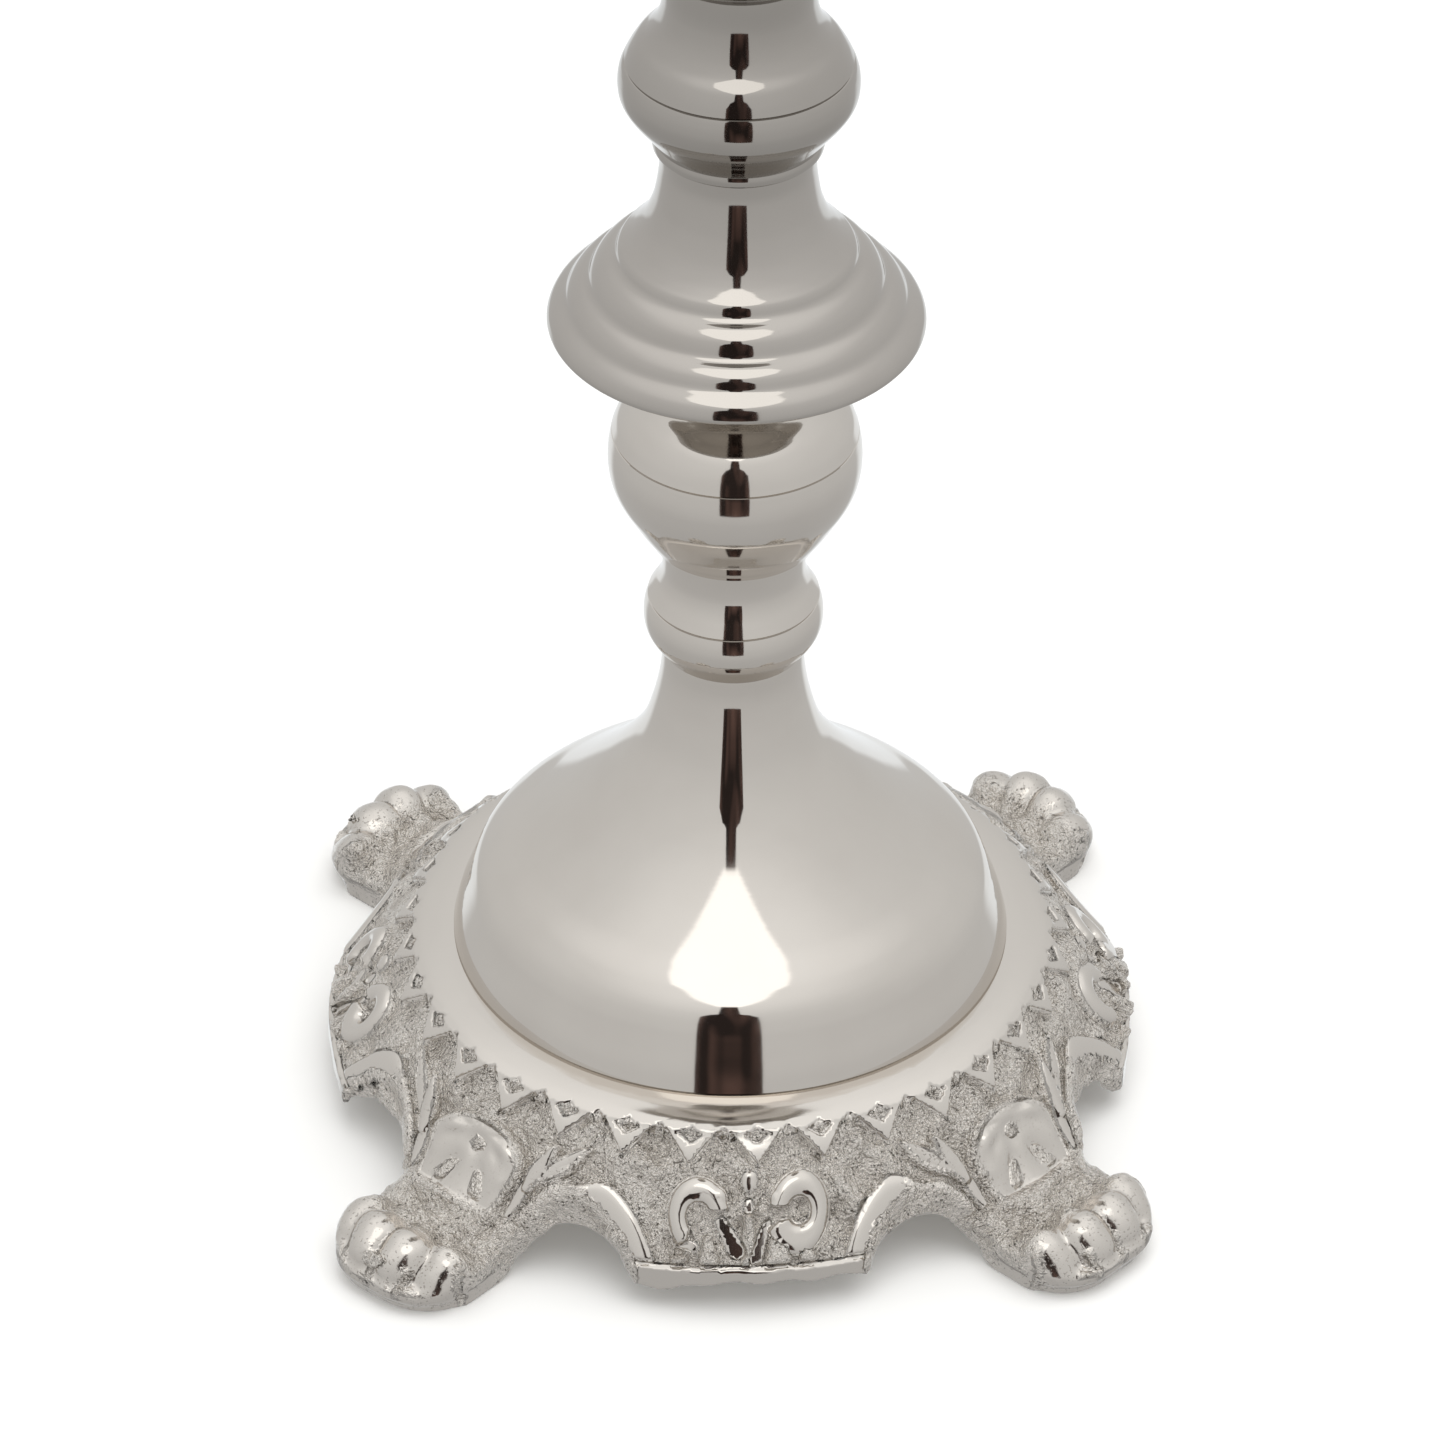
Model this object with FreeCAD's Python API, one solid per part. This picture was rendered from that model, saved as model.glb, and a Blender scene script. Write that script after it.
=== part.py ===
import FreeCAD, Part
import math
import os

# A table candlestick on a cast base with four lion paws. Millimetres, +Z up.
# The origin is on the floor, on the turning axis. The base's four flat-fronted
# panels face +X, +Y, -X and -Y, and its paws lie on the diagonals.

# ---- driving dimensions ----
seam_r = 46.0            # dome foot's lower edge, where it sits on the casting
seam_z = 28.0            # height of that seam above the floor

# cast base
wall = 3.5               # thickness of the cast skirt
ring_r = 53.0            # outer edge of the polished ring
ring_z = 26.6
tooth_r = 56.0           # tips of the teeth that hang from the ring
tooth_z = 22.6
tooth_count = 32
tooth_lift = 0.7         # the teeth stand this far off the skirt
band_r = 67.6            # outer radius of the plain band under each panel
band_top_z = 9.1
band_bottom_z = 6.0
panel_r = 66.4           # skirt's radius just above the band
flange_bore_r = 38.0     # opening of the flange that carries the dome foot
flange_bottom_z = 24.5

# arches between the panels and the paws
arch_angle = 25.0        # from a panel's middle to the middle of an arch
arch_half_width = 11.4
arch_height = 10.3
arch_bite_r = 15.2       # radius of the upright hollow that sets an arch back
arch_bite_at = 78.0      # distance of that hollow's centre from the axis
arch_rim_width = 3.0
arch_rim_lift = 0.9

# paws, measured outwards from the axis along a diagonal
paw_half_width = 12.5
paw_back_r = 60.0
paw_front_r = 87.0
paw_pad_height = 2.0
paw_pad_inset = 1.6      # the pad's front stands this far behind the sole's
paw_sole_z = 5.4
heel_low_r = 69.6        # where the heel's underside meets the floor
heel_top_r = 61.7        # where it meets the level of the bands' lower edges
instep_z = 7.4
toe_radius = 4.0
toe_count = 4
toe_pitch = 5.8
toe_z = 5.7              # middle of a toe's tip
toe_rise = 1.5           # the knuckle stands this far above root and tip
toe_root_in = 10.6       # root, knuckle and tip stand this far behind the sole's front
toe_knuckle_in = 6.6
toe_tip_in = 3.8
toe_setback = 0.030      # per millimetre squared from the paw's middle: outer toes stand back
toe_drop = 0.018         # and lie lower

# clamping hardware, M6
rod_r = 2.95
rod_hole_r = 3.0
rod_clearance_r = 3.3
plate_r = 41.0
plate_thickness = 2.0
washer_r = 5.5
washer_thickness = 1.4
nut_across_flats = 10.0
nut_height = 5.0
rod_tail = 4.0           # rod end below the nut

# turned pieces of the stem
bore_r = 8.0             # through bore of every stem piece
spigot_r = 7.9           # spigot that centres a piece in the bore below it
spigot_length = 3.0
dome_top_z = 85.5
ring_top_z = 107.0
bulb_top_z = 146.0
bell_top_z = 180.0
knop_top_z = 212.5
collar_top_z = 222.0

# candle socket and its lift-out nozzle
vase_top_z = 257.0
vase_floor_z = 228.0
socket_bore_r = 13.0
sleeve_r = 12.6
sleeve_depth = 24.0
candle_r = 11.2
candle_depth = 26.0
candle_mouth_z = 260.6
pan_r = 33.0
pan_rim_z = 266.0
pan_edge = 0.75          # radius of the pan's rounded rim


# ---- wires ----
def at(r, z):
    """A point of a turned outline."""
    return FreeCAD.Vector(r, 0, z)


def run(points):
    """Straight edges through (r, z) points."""
    return [Part.makeLine(at(*a), at(*b)) for a, b in zip(points, points[1:])]


def curve(points):
    """One smooth edge through (r, z) points."""
    spline = Part.BSplineCurve()
    spline.interpolate([at(*p) for p in points])
    return [spline.toShape()]


def arc(start, middle, end):
    """One circular edge through three (r, z) points."""
    return [Part.Arc(at(*start), at(*middle), at(*end)).toShape()]


def turned(edges):
    """The solid turned from a closed outline."""
    wire = Part.Wire(Part.__sortEdges__(edges))
    face = Part.Face(wire)
    solid = face.revolve(FreeCAD.Vector(0, 0, 0), FreeCAD.Vector(0, 0, 1), 360)
    return Part.makeSolid(solid) if solid.ShapeType != "Solid" else solid


def tube(outer_r, inner_r, low_z, high_z):
    """A plain round tube on the axis."""
    outer = Part.makeCylinder(outer_r, high_z - low_z, at(0, low_z))
    inner = Part.makeCylinder(inner_r, high_z - low_z, at(0, low_z))
    return outer.cut(inner)


def spun(shape, degrees):
    """A copy turned about the axis."""
    copy = shape.copy()
    copy.rotate(FreeCAD.Vector(0, 0, 0), FreeCAD.Vector(0, 0, 1), degrees)
    return copy


def capsule(start, end, radius):
    """A round-ended bar between two points, as a list of solids to fuse."""
    axis = end - start
    bar = Part.makeCylinder(radius, axis.Length, start, axis)
    return [bar, Part.makeSphere(radius, start), Part.makeSphere(radius, end)]


# ---- cast base ----
def skirt_outline(lift):
    """Outer face of the skirt, moved outwards by lift, from ring to floor."""
    slope = math.atan2(tooth_z - band_top_z, panel_r - tooth_r)
    dr = lift * math.sin(slope)
    dz = lift * math.cos(slope)
    return [(ring_r + dr, ring_z + dz), (tooth_r + dr, tooth_z + dz), (panel_r + dr, band_top_z + dz)]


def skirt_solid(lift):
    """The whole skirt down to the floor, with its hollow, before any cut-out."""
    ring, tooth, panel = skirt_outline(lift)
    foot_r = band_r + lift
    outer = arc((seam_r, seam_z), ((seam_r + ring[0]) / 2, seam_z - 0.25), ring)
    outer += run([ring, tooth, panel, (foot_r, band_top_z), (foot_r, 0)])
    inner = run([
        (foot_r, 0),
        (band_r - wall, 0),
        (band_r - wall, band_top_z - wall / 2),
        (tooth_r - wall, tooth_z - wall / 2),
        (ring_r - wall, flange_bottom_z),
        (flange_bore_r, flange_bottom_z),
        (flange_bore_r, seam_z),
        (seam_r, seam_z),
    ])
    return turned(outer + inner)


def arch_prism(half_width, height, angle):
    """A half-elliptical tunnel that runs outwards through the skirt."""
    ellipse = Part.Ellipse(FreeCAD.Vector(0, 0, 0), max(half_width, height), min(half_width, height))
    face = Part.Face(Part.Wire(ellipse.toShape()))
    if height > half_width:
        face.rotate(FreeCAD.Vector(0, 0, 0), FreeCAD.Vector(0, 0, 1), 90)
    face.rotate(FreeCAD.Vector(0, 0, 0), FreeCAD.Vector(1, 0, 0), 90)
    face.rotate(FreeCAD.Vector(0, 0, 0), FreeCAD.Vector(0, 0, 1), 90)
    face.translate(FreeCAD.Vector(tooth_r - wall - 4, 0, 0))
    return spun(face.extrude(FreeCAD.Vector(band_r, 0, 0)), angle)


def arch_angles():
    """Middles of the eight arches."""
    return [90 * side + sign * arch_angle for side in range(4) for sign in (-1, 1)]


def arch_bite(radius, angle):
    """The upright cylinder that sets an arch back, or with a larger radius its raised border."""
    turn = math.radians(angle)
    centre = FreeCAD.Vector(arch_bite_at * math.cos(turn), arch_bite_at * math.sin(turn), -1)
    return Part.makeCylinder(radius, seam_z, centre)


def arch_rims():
    """The raised border round every arch, as a list of solids."""
    skin = skirt_solid(arch_rim_lift)
    lower = Part.makeCylinder(band_r + 9, band_top_z + 1)
    return [
        skin.common(arch_bite(arch_bite_r + arch_rim_width, angle)).cut(lower)
        for angle in arch_angles()
    ]


def tooth_layer():
    """The ring's hanging teeth: a thin skin over the skirt, cut to a zigzag."""
    ring, tooth, _ = skirt_outline(tooth_lift)
    ring_in, tooth_in, _ = skirt_outline(-wall / 2)
    skin = turned(run([ring, tooth, tooth_in, ring_in, ring]))
    points = []
    for k in range(2 * tooth_count + 1):
        turn = math.pi * k / tooth_count
        reach = ring_r + 0.2 if k % 2 else tooth_r + tooth_lift
        points.append(FreeCAD.Vector(reach * math.cos(turn), reach * math.sin(turn), 0))
    star = Part.Face(Part.makePolygon(points)).extrude(FreeCAD.Vector(0, 0, seam_z + 4))
    return skin.common(star)


def on_skirt(r, degrees, depth=0.0):
    """A point on the sloping face, sunk by depth, at a radius and an angle from +X."""
    share = (r - tooth_r) / (panel_r - tooth_r)
    z = tooth_z + share * (band_top_z - tooth_z)
    slope = math.atan2(tooth_z - band_top_z, panel_r - tooth_r)
    r -= depth * math.sin(slope)
    z -= depth * math.cos(slope)
    turn = math.radians(degrees)
    return FreeCAD.Vector(r * math.cos(turn), r * math.sin(turn), z)


def panel_relief():
    """Two scrolls, a bud and a fan of three leaves on the panel that faces +X."""
    slope = math.atan2(tooth_z - band_top_z, panel_r - tooth_r)
    normal = FreeCAD.Vector(math.sin(slope), 0, math.cos(slope))
    relief = []
    for side in (-1, 1):
        centre = on_skirt(61.0, side * 6.6, 0.35)
        outward = FreeCAD.Rotation(FreeCAD.Vector(0, 0, 1), side * 6.6).multVec(normal)
        relief.append(Part.makeTorus(4.1, 1.3, centre, outward))
        relief += capsule(on_skirt(64.8, side * 1.0, 0.6), on_skirt(66.0, side * 6.0, 0.6), 1.3)
    relief += capsule(on_skirt(58.2, 0, 0.4), on_skirt(59.6, 0, 0.4), 1.2)
    relief += capsule(on_skirt(62.0, 0, 0.5), on_skirt(66.0, 0, 0.5), 1.2)
    return relief


def knee_relief():
    """The round shield over the leg on +X, with ribs that run down to the ankle."""
    relief = [Part.makeSphere(9.5, on_skirt(60.6, 0, 6.9))]
    for spread in (-6.0, -2.0, 2.0, 6.0):
        top = on_skirt(62.0, spread, 0.6)
        relief += capsule(top, FreeCAD.Vector(71.0, spread * 1.2, 7.0), 1.6)
    return relief


def rounded_slab(back_r, front_r, half_width, low_z, high_z):
    """A slab along +X whose front is round in plan."""
    nose = 0.75 * half_width
    corner = front_r - nose
    points = [
        FreeCAD.Vector(back_r, -half_width, low_z),
        FreeCAD.Vector(corner, -half_width, low_z),
        FreeCAD.Vector(corner, half_width, low_z),
        FreeCAD.Vector(back_r, half_width, low_z),
    ]
    bow = Part.Arc(points[1], FreeCAD.Vector(front_r, 0, low_z), points[2]).toShape()
    edges = [
        Part.makeLine(points[0], points[1]),
        bow,
        Part.makeLine(points[2], points[3]),
        Part.makeLine(points[3], points[0]),
    ]
    return Part.Face(Part.Wire(edges)).extrude(FreeCAD.Vector(0, 0, high_z - low_z))


def paw():
    """One lion paw on +X: pad, sole, instep and four bent toes."""
    pad = rounded_slab(
        paw_back_r, paw_front_r - paw_pad_inset, paw_half_width - 0.3, 0, paw_pad_height
    )
    sole = rounded_slab(
        paw_back_r, paw_front_r, paw_half_width, paw_pad_height - 0.2, paw_sole_z
    )
    instep = Part.makeBox(
        paw_front_r - 10 - paw_back_r,
        2 * paw_half_width - 0.4,
        instep_z - paw_pad_height,
        FreeCAD.Vector(paw_back_r, 0.2 - paw_half_width, paw_pad_height),
    )
    pieces = [pad, sole, instep]
    for k in range(toe_count):
        v = (k - (toe_count - 1) / 2) * toe_pitch
        front_r = paw_front_r - toe_setback * v * v
        z = toe_z - toe_drop * v * v
        root = FreeCAD.Vector(paw_front_r - toe_root_in, v, z)
        knuckle = FreeCAD.Vector(front_r - toe_knuckle_in, v, z + toe_rise)
        tip = FreeCAD.Vector(front_r - toe_tip_in, v, z)
        pieces += capsule(root, knuckle, toe_radius)
        pieces += capsule(knuckle, tip, toe_radius)
    return pieces


def heel_wedge():
    """The space behind a paw on +X, under the slanting heel."""
    points = [
        FreeCAD.Vector(50, -paw_half_width - 2, -1),
        FreeCAD.Vector(heel_low_r + 1.1, -paw_half_width - 2, -1),
        FreeCAD.Vector(heel_top_r, -paw_half_width - 2, band_bottom_z),
        FreeCAD.Vector(50, -paw_half_width - 2, band_bottom_z),
    ]
    face = Part.Face(Part.makePolygon(points + points[:1]))
    return face.extrude(FreeCAD.Vector(0, 2 * paw_half_width + 4, 0))


def base_casting():
    """The whole casting as one solid."""
    skirt = skirt_solid(0).fuse(arch_rims() + [tooth_layer()])
    cuts = [arch_prism(arch_half_width, arch_height, angle) for angle in arch_angles()]
    cuts += [arch_bite(arch_bite_r, angle) for angle in arch_angles()]
    # below the band only the four legs remain
    under = Part.makeCylinder(band_r + 9, band_bottom_z)
    legs = []
    for k in range(4):
        block = Part.makeBox(
            band_r, 2 * paw_half_width, band_bottom_z, FreeCAD.Vector(20, -paw_half_width, 0)
        )
        legs.append(spun(block, 45 + 90 * k))
    under = under.cut(legs[0].fuse(legs[1:]))
    body = skirt.cut(cuts + [under])
    hollow = Part.makeCylinder(band_r - wall, band_top_z - wall / 2)
    details = []
    for k in range(4):
        details += [spun(piece, 90 * k) for piece in panel_relief()]
        details += [spun(piece, 45 + 90 * k).cut(hollow) for piece in knee_relief()]
        details += [spun(piece, 45 + 90 * k).cut(hollow) for piece in paw()]
    body = body.fuse(details).removeSplitter()
    inside = turned(run([
        (0, -1),
        (band_r - wall, -1),
        (band_r - wall, band_top_z - wall / 2),
        (tooth_r - wall, tooth_z - wall / 2),
        (ring_r - wall, flange_bottom_z),
        (0, flange_bottom_z),
        (0, -1),
    ]))
    return body.cut([inside] + [spun(heel_wedge(), 45 + 90 * k) for k in range(4)])


# ---- turned stem ----
def stem_bore(low_z, high_z):
    """The bore and spigot of a stem piece, from its top edge round to its foot."""
    return run([(bore_r, high_z), (bore_r, low_z + 4), (rod_clearance_r + 2, low_z + 1)])


def spigot(low_z):
    """The hollow spigot under a stem piece."""
    return tube(spigot_r, rod_clearance_r + 2, low_z - spigot_length, low_z)


def stem_piece(outer, low_z, high_z):
    """A stem piece: an outer outline from foot to top, a bore and a spigot."""
    foot = outer[0].Vertexes[0].Point
    head = outer[-1].Vertexes[-1].Point
    closing = run([(head.x, high_z), (bore_r, high_z)]) + stem_bore(low_z, high_z)
    closing += run([(rod_clearance_r + 2, low_z + 1), (rod_clearance_r + 2, low_z), (foot.x, low_z)])
    return turned(outer + closing).fuse(spigot(low_z)).removeSplitter()


def dome_foot():
    """The hollow trumpet foot with its stepped lower band."""
    outer = curve([(46.0, 28.0), (45.1, 31.5), (43.6, 35.8)])
    outer += curve([(43.6, 35.8), (42.3, 39.0), (39.6, 42.6), (35.2, 46.2), (30.4, 49.8)])
    outer += curve([
        (30.4, 49.8), (21.1, 59.3), (15.5, 67.0), (12.7, 75.0), (11.6, 82.0), (11.5, dome_top_z)
    ])
    inner = run([(11.5, dome_top_z), (bore_r, dome_top_z), (bore_r, 76.0)])
    inner += curve([
        (bore_r, 76.0), (12.4, 66.5), (18.2, 58.6), (28.2, 48.4), (41.0, 36.0), (43.6, 28.0)
    ])
    inner += run([(43.6, 28.0), (46.0, 28.0)])
    return turned(outer + inner)


def ring_knop():
    """Narrow ring knop with one engraved line and the neck above it."""
    outer = run([(11.6, dome_top_z), (12.4, 86.4)])
    outer += curve([(12.4, 86.4), (14.1, 89.1), (14.5, 91.6), (14.35, 93.6), (13.9, 95.2)])
    outer += run([(13.9, 95.2), (13.6, 95.4), (13.75, 95.7)])
    outer += curve([(13.75, 95.7), (12.1, 98.5), (11.5, 101.0), (11.5, 103.5), (11.9, ring_top_z)])
    return stem_piece(outer, dome_top_z, ring_top_z)


def bulb_knop():
    """Round bulb with an engraved line above its widest part."""
    outer = run([(13.6, ring_top_z), (13.9, 107.8)])
    outer += curve([
        (13.9, 107.8), (17.1, 112.8), (19.3, 117.0), (20.24, 122.0), (20.12, 124.6), (19.7, 127.0)
    ])
    outer += run([(19.7, 127.0), (19.4, 127.2), (19.6, 127.5)])
    outer += curve([
        (19.6, 127.5), (17.1, 132.1), (13.5, 135.8), (11.6, 139.5), (11.0, 143.0), (11.0, bulb_top_z)
    ])
    return stem_piece(outer, ring_top_z, bulb_top_z)


def bell_skirt():
    """Flared bell with three ridges round its skirt, hollow underneath."""
    outer = curve([(29.0, 147.9), (29.74, 148.3), (29.55, 149.3), (28.6, 150.8), (26.8, 151.9)])
    outer += curve([(26.8, 151.9), (25.8, 154.0), (23.25, 155.6)])
    outer += curve([(23.25, 155.6), (21.9, 158.3), (18.95, 160.5)])
    outer += run([(18.95, 160.5), (18.4, 162.0)])
    outer += curve([(18.4, 162.0), (14.5, 166.9), (12.8, 172.2), (12.2, 176.6), (12.4, bell_top_z)])
    inner = run([(12.4, bell_top_z), (bore_r, bell_top_z), (bore_r, 150.0), (rod_clearance_r + 2, 149.0)])
    inner += run([(rod_clearance_r + 2, 149.0), (rod_clearance_r + 2, bulb_top_z), (10.8, bulb_top_z)])
    inner += run([(10.8, bulb_top_z), (11.4, 149.0)])
    inner += curve([(11.4, 149.0), (14.6, 153.6), (21.0, 151.6), (26.6, 148.7), (28.4, 147.6)])
    inner += run([(28.4, 147.6), (29.0, 147.9)])
    return turned(outer + inner).fuse(spigot(bulb_top_z)).removeSplitter()


def upper_knop():
    """Wide knop with an engraved line above its widest part and a neck over it."""
    outer = run([(12.6, bell_top_z), (13.3, 180.6), (13.3, 182.0), (13.7, 183.0)])
    outer += curve([
        (13.7, 183.0), (15.2, 185.1), (17.5, 188.0), (18.66, 191.4), (18.45, 193.5), (17.85, 195.2)
    ])
    outer += run([(17.85, 195.2), (17.55, 195.4), (17.65, 195.7)])
    outer += curve([
        (17.65, 195.7), (16.4, 197.8), (14.2, 200.4), (12.7, 202.8), (11.9, 206.0), (12.0, knop_top_z)
    ])
    return stem_piece(outer, bell_top_z, knop_top_z)


def collar_ring():
    """Small ring between the upper knop and the candle socket."""
    outer = run([(12.8, knop_top_z), (13.4, 213.3)])
    outer += curve([(13.4, 213.3), (15.0, 215.2), (15.35, 217.0), (14.8, 218.5)])
    outer += curve([(14.8, 218.5), (13.0, 219.8), (12.2, collar_top_z)])
    return stem_piece(outer, knop_top_z, collar_top_z)


# ---- candle socket ----
def socket_vase():
    """The fixed vase that takes the nozzle, tapped for the tie rod."""
    outer = run([(11.9, collar_top_z), (12.4, 222.8)])
    outer += curve([(12.4, 222.8), (15.4, 226.8), (17.8, 234.0), (17.6, 241.0), (16.4, 248.0)])
    outer += curve([(16.4, 248.0), (15.7, 252.0), (16.6, 256.0)])
    outer += run([(16.6, 256.0), (16.6, vase_top_z), (socket_bore_r, vase_top_z)])
    outer += run([(socket_bore_r, vase_top_z), (socket_bore_r, vase_floor_z), (rod_hole_r, vase_floor_z)])
    outer += run([(rod_hole_r, vase_floor_z), (rod_hole_r, collar_top_z), (11.9, collar_top_z)])
    return turned(outer).fuse(tube(spigot_r, rod_hole_r, collar_top_z - spigot_length, collar_top_z))


def drip_nozzle():
    """The loose sleeve that holds the candle, with the wide drip pan round its mouth."""
    floor_z = vase_top_z - sleeve_depth
    candle_floor_z = candle_mouth_z - candle_depth
    lip_r = candle_r + 1.4
    edge_z = pan_rim_z - pan_edge
    outer = run([(0, floor_z), (sleeve_r, floor_z), (sleeve_r, vase_top_z), (18.0, vase_top_z)])
    outer += curve([(18.0, vase_top_z), (25.0, 258.2), (30.6, 261.4), (pan_r, edge_z)])
    outer += arc((pan_r, edge_z), (pan_r - pan_edge, pan_rim_z), (pan_r - 2 * pan_edge, edge_z))
    outer += curve([(pan_r - 2 * pan_edge, edge_z), (29.0, 262.6), (24.4, 259.9), (16.6, 258.9)])
    outer += run([(16.6, 258.9), (lip_r, 258.9), (lip_r, candle_mouth_z), (candle_r, candle_mouth_z)])
    outer += run([(candle_r, candle_mouth_z), (candle_r, candle_floor_z), (0, candle_floor_z), (0, floor_z)])
    return turned(outer)


# ---- clamping hardware ----
def clamp_plate():
    """Disc that bears on the underside of the casting's flange."""
    return tube(plate_r, rod_clearance_r, flange_bottom_z - plate_thickness, flange_bottom_z)


def spring_washer():
    """Split washer between nut and plate."""
    top_z = flange_bottom_z - plate_thickness
    ring = tube(washer_r, rod_clearance_r, top_z - washer_thickness, top_z)
    slit = Part.makeBox(washer_r, 0.8, washer_thickness, FreeCAD.Vector(0, -0.4, top_z - washer_thickness))
    return ring.cut(slit)


def hex_nut():
    """M6 nut with a chamfered lower face."""
    top_z = flange_bottom_z - plate_thickness - washer_thickness
    low_z = top_z - nut_height
    corner = nut_across_flats / math.sqrt(3)
    points = [
        FreeCAD.Vector(corner * math.cos(math.pi * k / 3), corner * math.sin(math.pi * k / 3), low_z)
        for k in range(7)
    ]
    body = Part.Face(Part.makePolygon(points)).extrude(FreeCAD.Vector(0, 0, nut_height))
    face_r = nut_across_flats / 2
    cone = Part.makeCone(face_r, face_r + nut_height, nut_height, at(0, low_z))
    hole = Part.makeCylinder(rod_hole_r, nut_height, at(0, low_z))
    return body.common(cone).cut(hole)


def tie_rod():
    """The rod that pulls the socket, the stem and the foot down onto the casting."""
    low_z = flange_bottom_z - plate_thickness - washer_thickness - nut_height - rod_tail
    rod = Part.makeCylinder(rod_r, vase_floor_z - low_z, at(0, low_z))
    return rod.makeChamfer(0.6, [edge for edge in rod.Edges if edge.Closed])


NODES = {
    "base_casting": base_casting,
    "dome_foot": dome_foot,
    "ring_knop": ring_knop,
    "bulb_knop": bulb_knop,
    "bell_skirt": bell_skirt,
    "upper_knop": upper_knop,
    "collar_ring": collar_ring,
    "socket_vase": socket_vase,
    "drip_nozzle": drip_nozzle,
    "tie_rod": tie_rod,
    "clamp_plate": clamp_plate,
    "spring_washer": spring_washer,
    "hex_nut": hex_nut,
}

os.makedirs("parts", exist_ok=True)
for name, make in NODES.items():
    shape = make()
    box = shape.BoundBox
    print(name, len(shape.Solids), shape.isValid(), round(shape.Volume), round(box.ZMax, 2))
    shape.exportStep("parts/%s.step" % name)
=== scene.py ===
import math

import bpy
import numpy as np
from mathutils import Matrix, Vector


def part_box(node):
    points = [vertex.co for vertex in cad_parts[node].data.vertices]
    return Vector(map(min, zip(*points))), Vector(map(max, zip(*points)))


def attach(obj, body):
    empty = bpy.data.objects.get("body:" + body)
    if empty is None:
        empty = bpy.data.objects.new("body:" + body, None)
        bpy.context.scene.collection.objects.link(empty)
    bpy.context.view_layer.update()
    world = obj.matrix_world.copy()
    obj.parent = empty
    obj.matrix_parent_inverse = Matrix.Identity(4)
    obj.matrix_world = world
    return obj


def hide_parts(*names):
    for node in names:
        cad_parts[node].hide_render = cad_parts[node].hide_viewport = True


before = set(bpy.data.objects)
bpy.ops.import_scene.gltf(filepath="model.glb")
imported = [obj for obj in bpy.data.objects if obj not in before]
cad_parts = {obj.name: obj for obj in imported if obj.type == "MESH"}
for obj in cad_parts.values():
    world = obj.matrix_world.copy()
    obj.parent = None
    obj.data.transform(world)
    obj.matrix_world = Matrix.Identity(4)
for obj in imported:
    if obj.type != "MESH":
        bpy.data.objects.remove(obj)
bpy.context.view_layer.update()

MM = 0.001  # the shapes below are worked out in millimetres

# ---- driving sizes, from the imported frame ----
foot_low, foot_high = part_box("dome_foot")
SEAM_R = foot_high[0] / MM  # dome foot's lower edge
SEAM_Z = foot_low[2] / MM  # its height above the floor
PAN_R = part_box("drip_nozzle")[1][0] / MM


def node_z(name):
    """Lowest and highest Z of a CAD node in millimetres."""
    low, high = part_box(name)
    return low[2] / MM, high[2] / MM


def put(name, data):
    """A new object in the scene."""
    thing = bpy.data.objects.new(name, data)
    bpy.context.scene.collection.objects.link(thing)
    return thing


# ======== Materials: noise scales are per metre, so 1000 is a grain of about 1 mm
class Nodes:
    """Short calls for building a node tree."""

    def __init__(self, tree):
        self.tree = tree
        tree.nodes.clear()

    def add(self, kind, **settings):
        node = self.tree.nodes.new(kind)
        for key, value in settings.items():
            setattr(node, key, value)
        return node

    def feed(self, node, name, value):
        """Links a socket of a node to a source, or sets it to a fixed number, vector or colour."""
        socket = node.inputs[name]
        if isinstance(value, bpy.types.NodeSocket):
            self.tree.links.new(value, socket)
        else:
            socket.default_value = (*value, 1.0) if socket.type == "RGBA" else value

    def surface(self, name, value):
        self.feed(self.shader, name, value)

    def noise(self, scale, detail=3.0, roughness=0.5, stretch=(1, 1, 1)):
        """Noise over object space, whose units are metres."""
        mapping = self.add("ShaderNodeMapping")
        self.feed(mapping, "Scale", stretch)
        self.feed(mapping, "Vector", self.add("ShaderNodeTexCoord").outputs["Object"])
        noise = self.add("ShaderNodeTexNoise")
        for name, value in (("Scale", scale), ("Detail", detail), ("Roughness", roughness),
                            ("Vector", mapping.outputs["Vector"])):
            self.feed(noise, name, value)
        return noise.outputs["Fac"]

    def ramp(self, source, low, high, at=(0.0, 1.0), blend="LINEAR"):
        """Maps a value from the span at to the span low to high."""
        node = self.add("ShaderNodeMapRange", interpolation_type=blend)
        names = ("Value", "From Min", "From Max", "To Min", "To Max")
        for name, value in zip(names, (source, *at, low, high)):
            self.feed(node, name, value)
        return node.outputs["Result"]

    def mix_colour(self, factor, first, second):
        mix = self.add("ShaderNodeMix", data_type="RGBA")
        for name, value in (("Factor", factor), (6, first), (7, second)):
            self.feed(mix, name, value)
        return mix.outputs[2]

    def maths(self, operation, first, second):
        node = self.add("ShaderNodeMath", operation=operation)
        self.feed(node, 0, first)
        self.feed(node, 1, second)
        return node.outputs[0]

    def times(self, first, second):
        return self.maths("MULTIPLY", first, second)

    def bump(self, height, strength, distance, normal=None):
        bump = self.add("ShaderNodeBump")
        for name, value in (("Strength", strength), ("Distance", distance), ("Height", height)):
            self.feed(bump, name, value)
        if normal is not None:
            self.feed(bump, "Normal", normal)
        return bump.outputs["Normal"]


def new_material(name):
    material = bpy.data.materials.new(name)
    material.use_nodes = True
    n = Nodes(material.node_tree)
    n.output = n.add("ShaderNodeOutputMaterial")
    n.shader = n.add("ShaderNodeBsdfPrincipled")
    n.feed(n.output, "Surface", n.shader.outputs["BSDF"])
    return material, n


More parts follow.
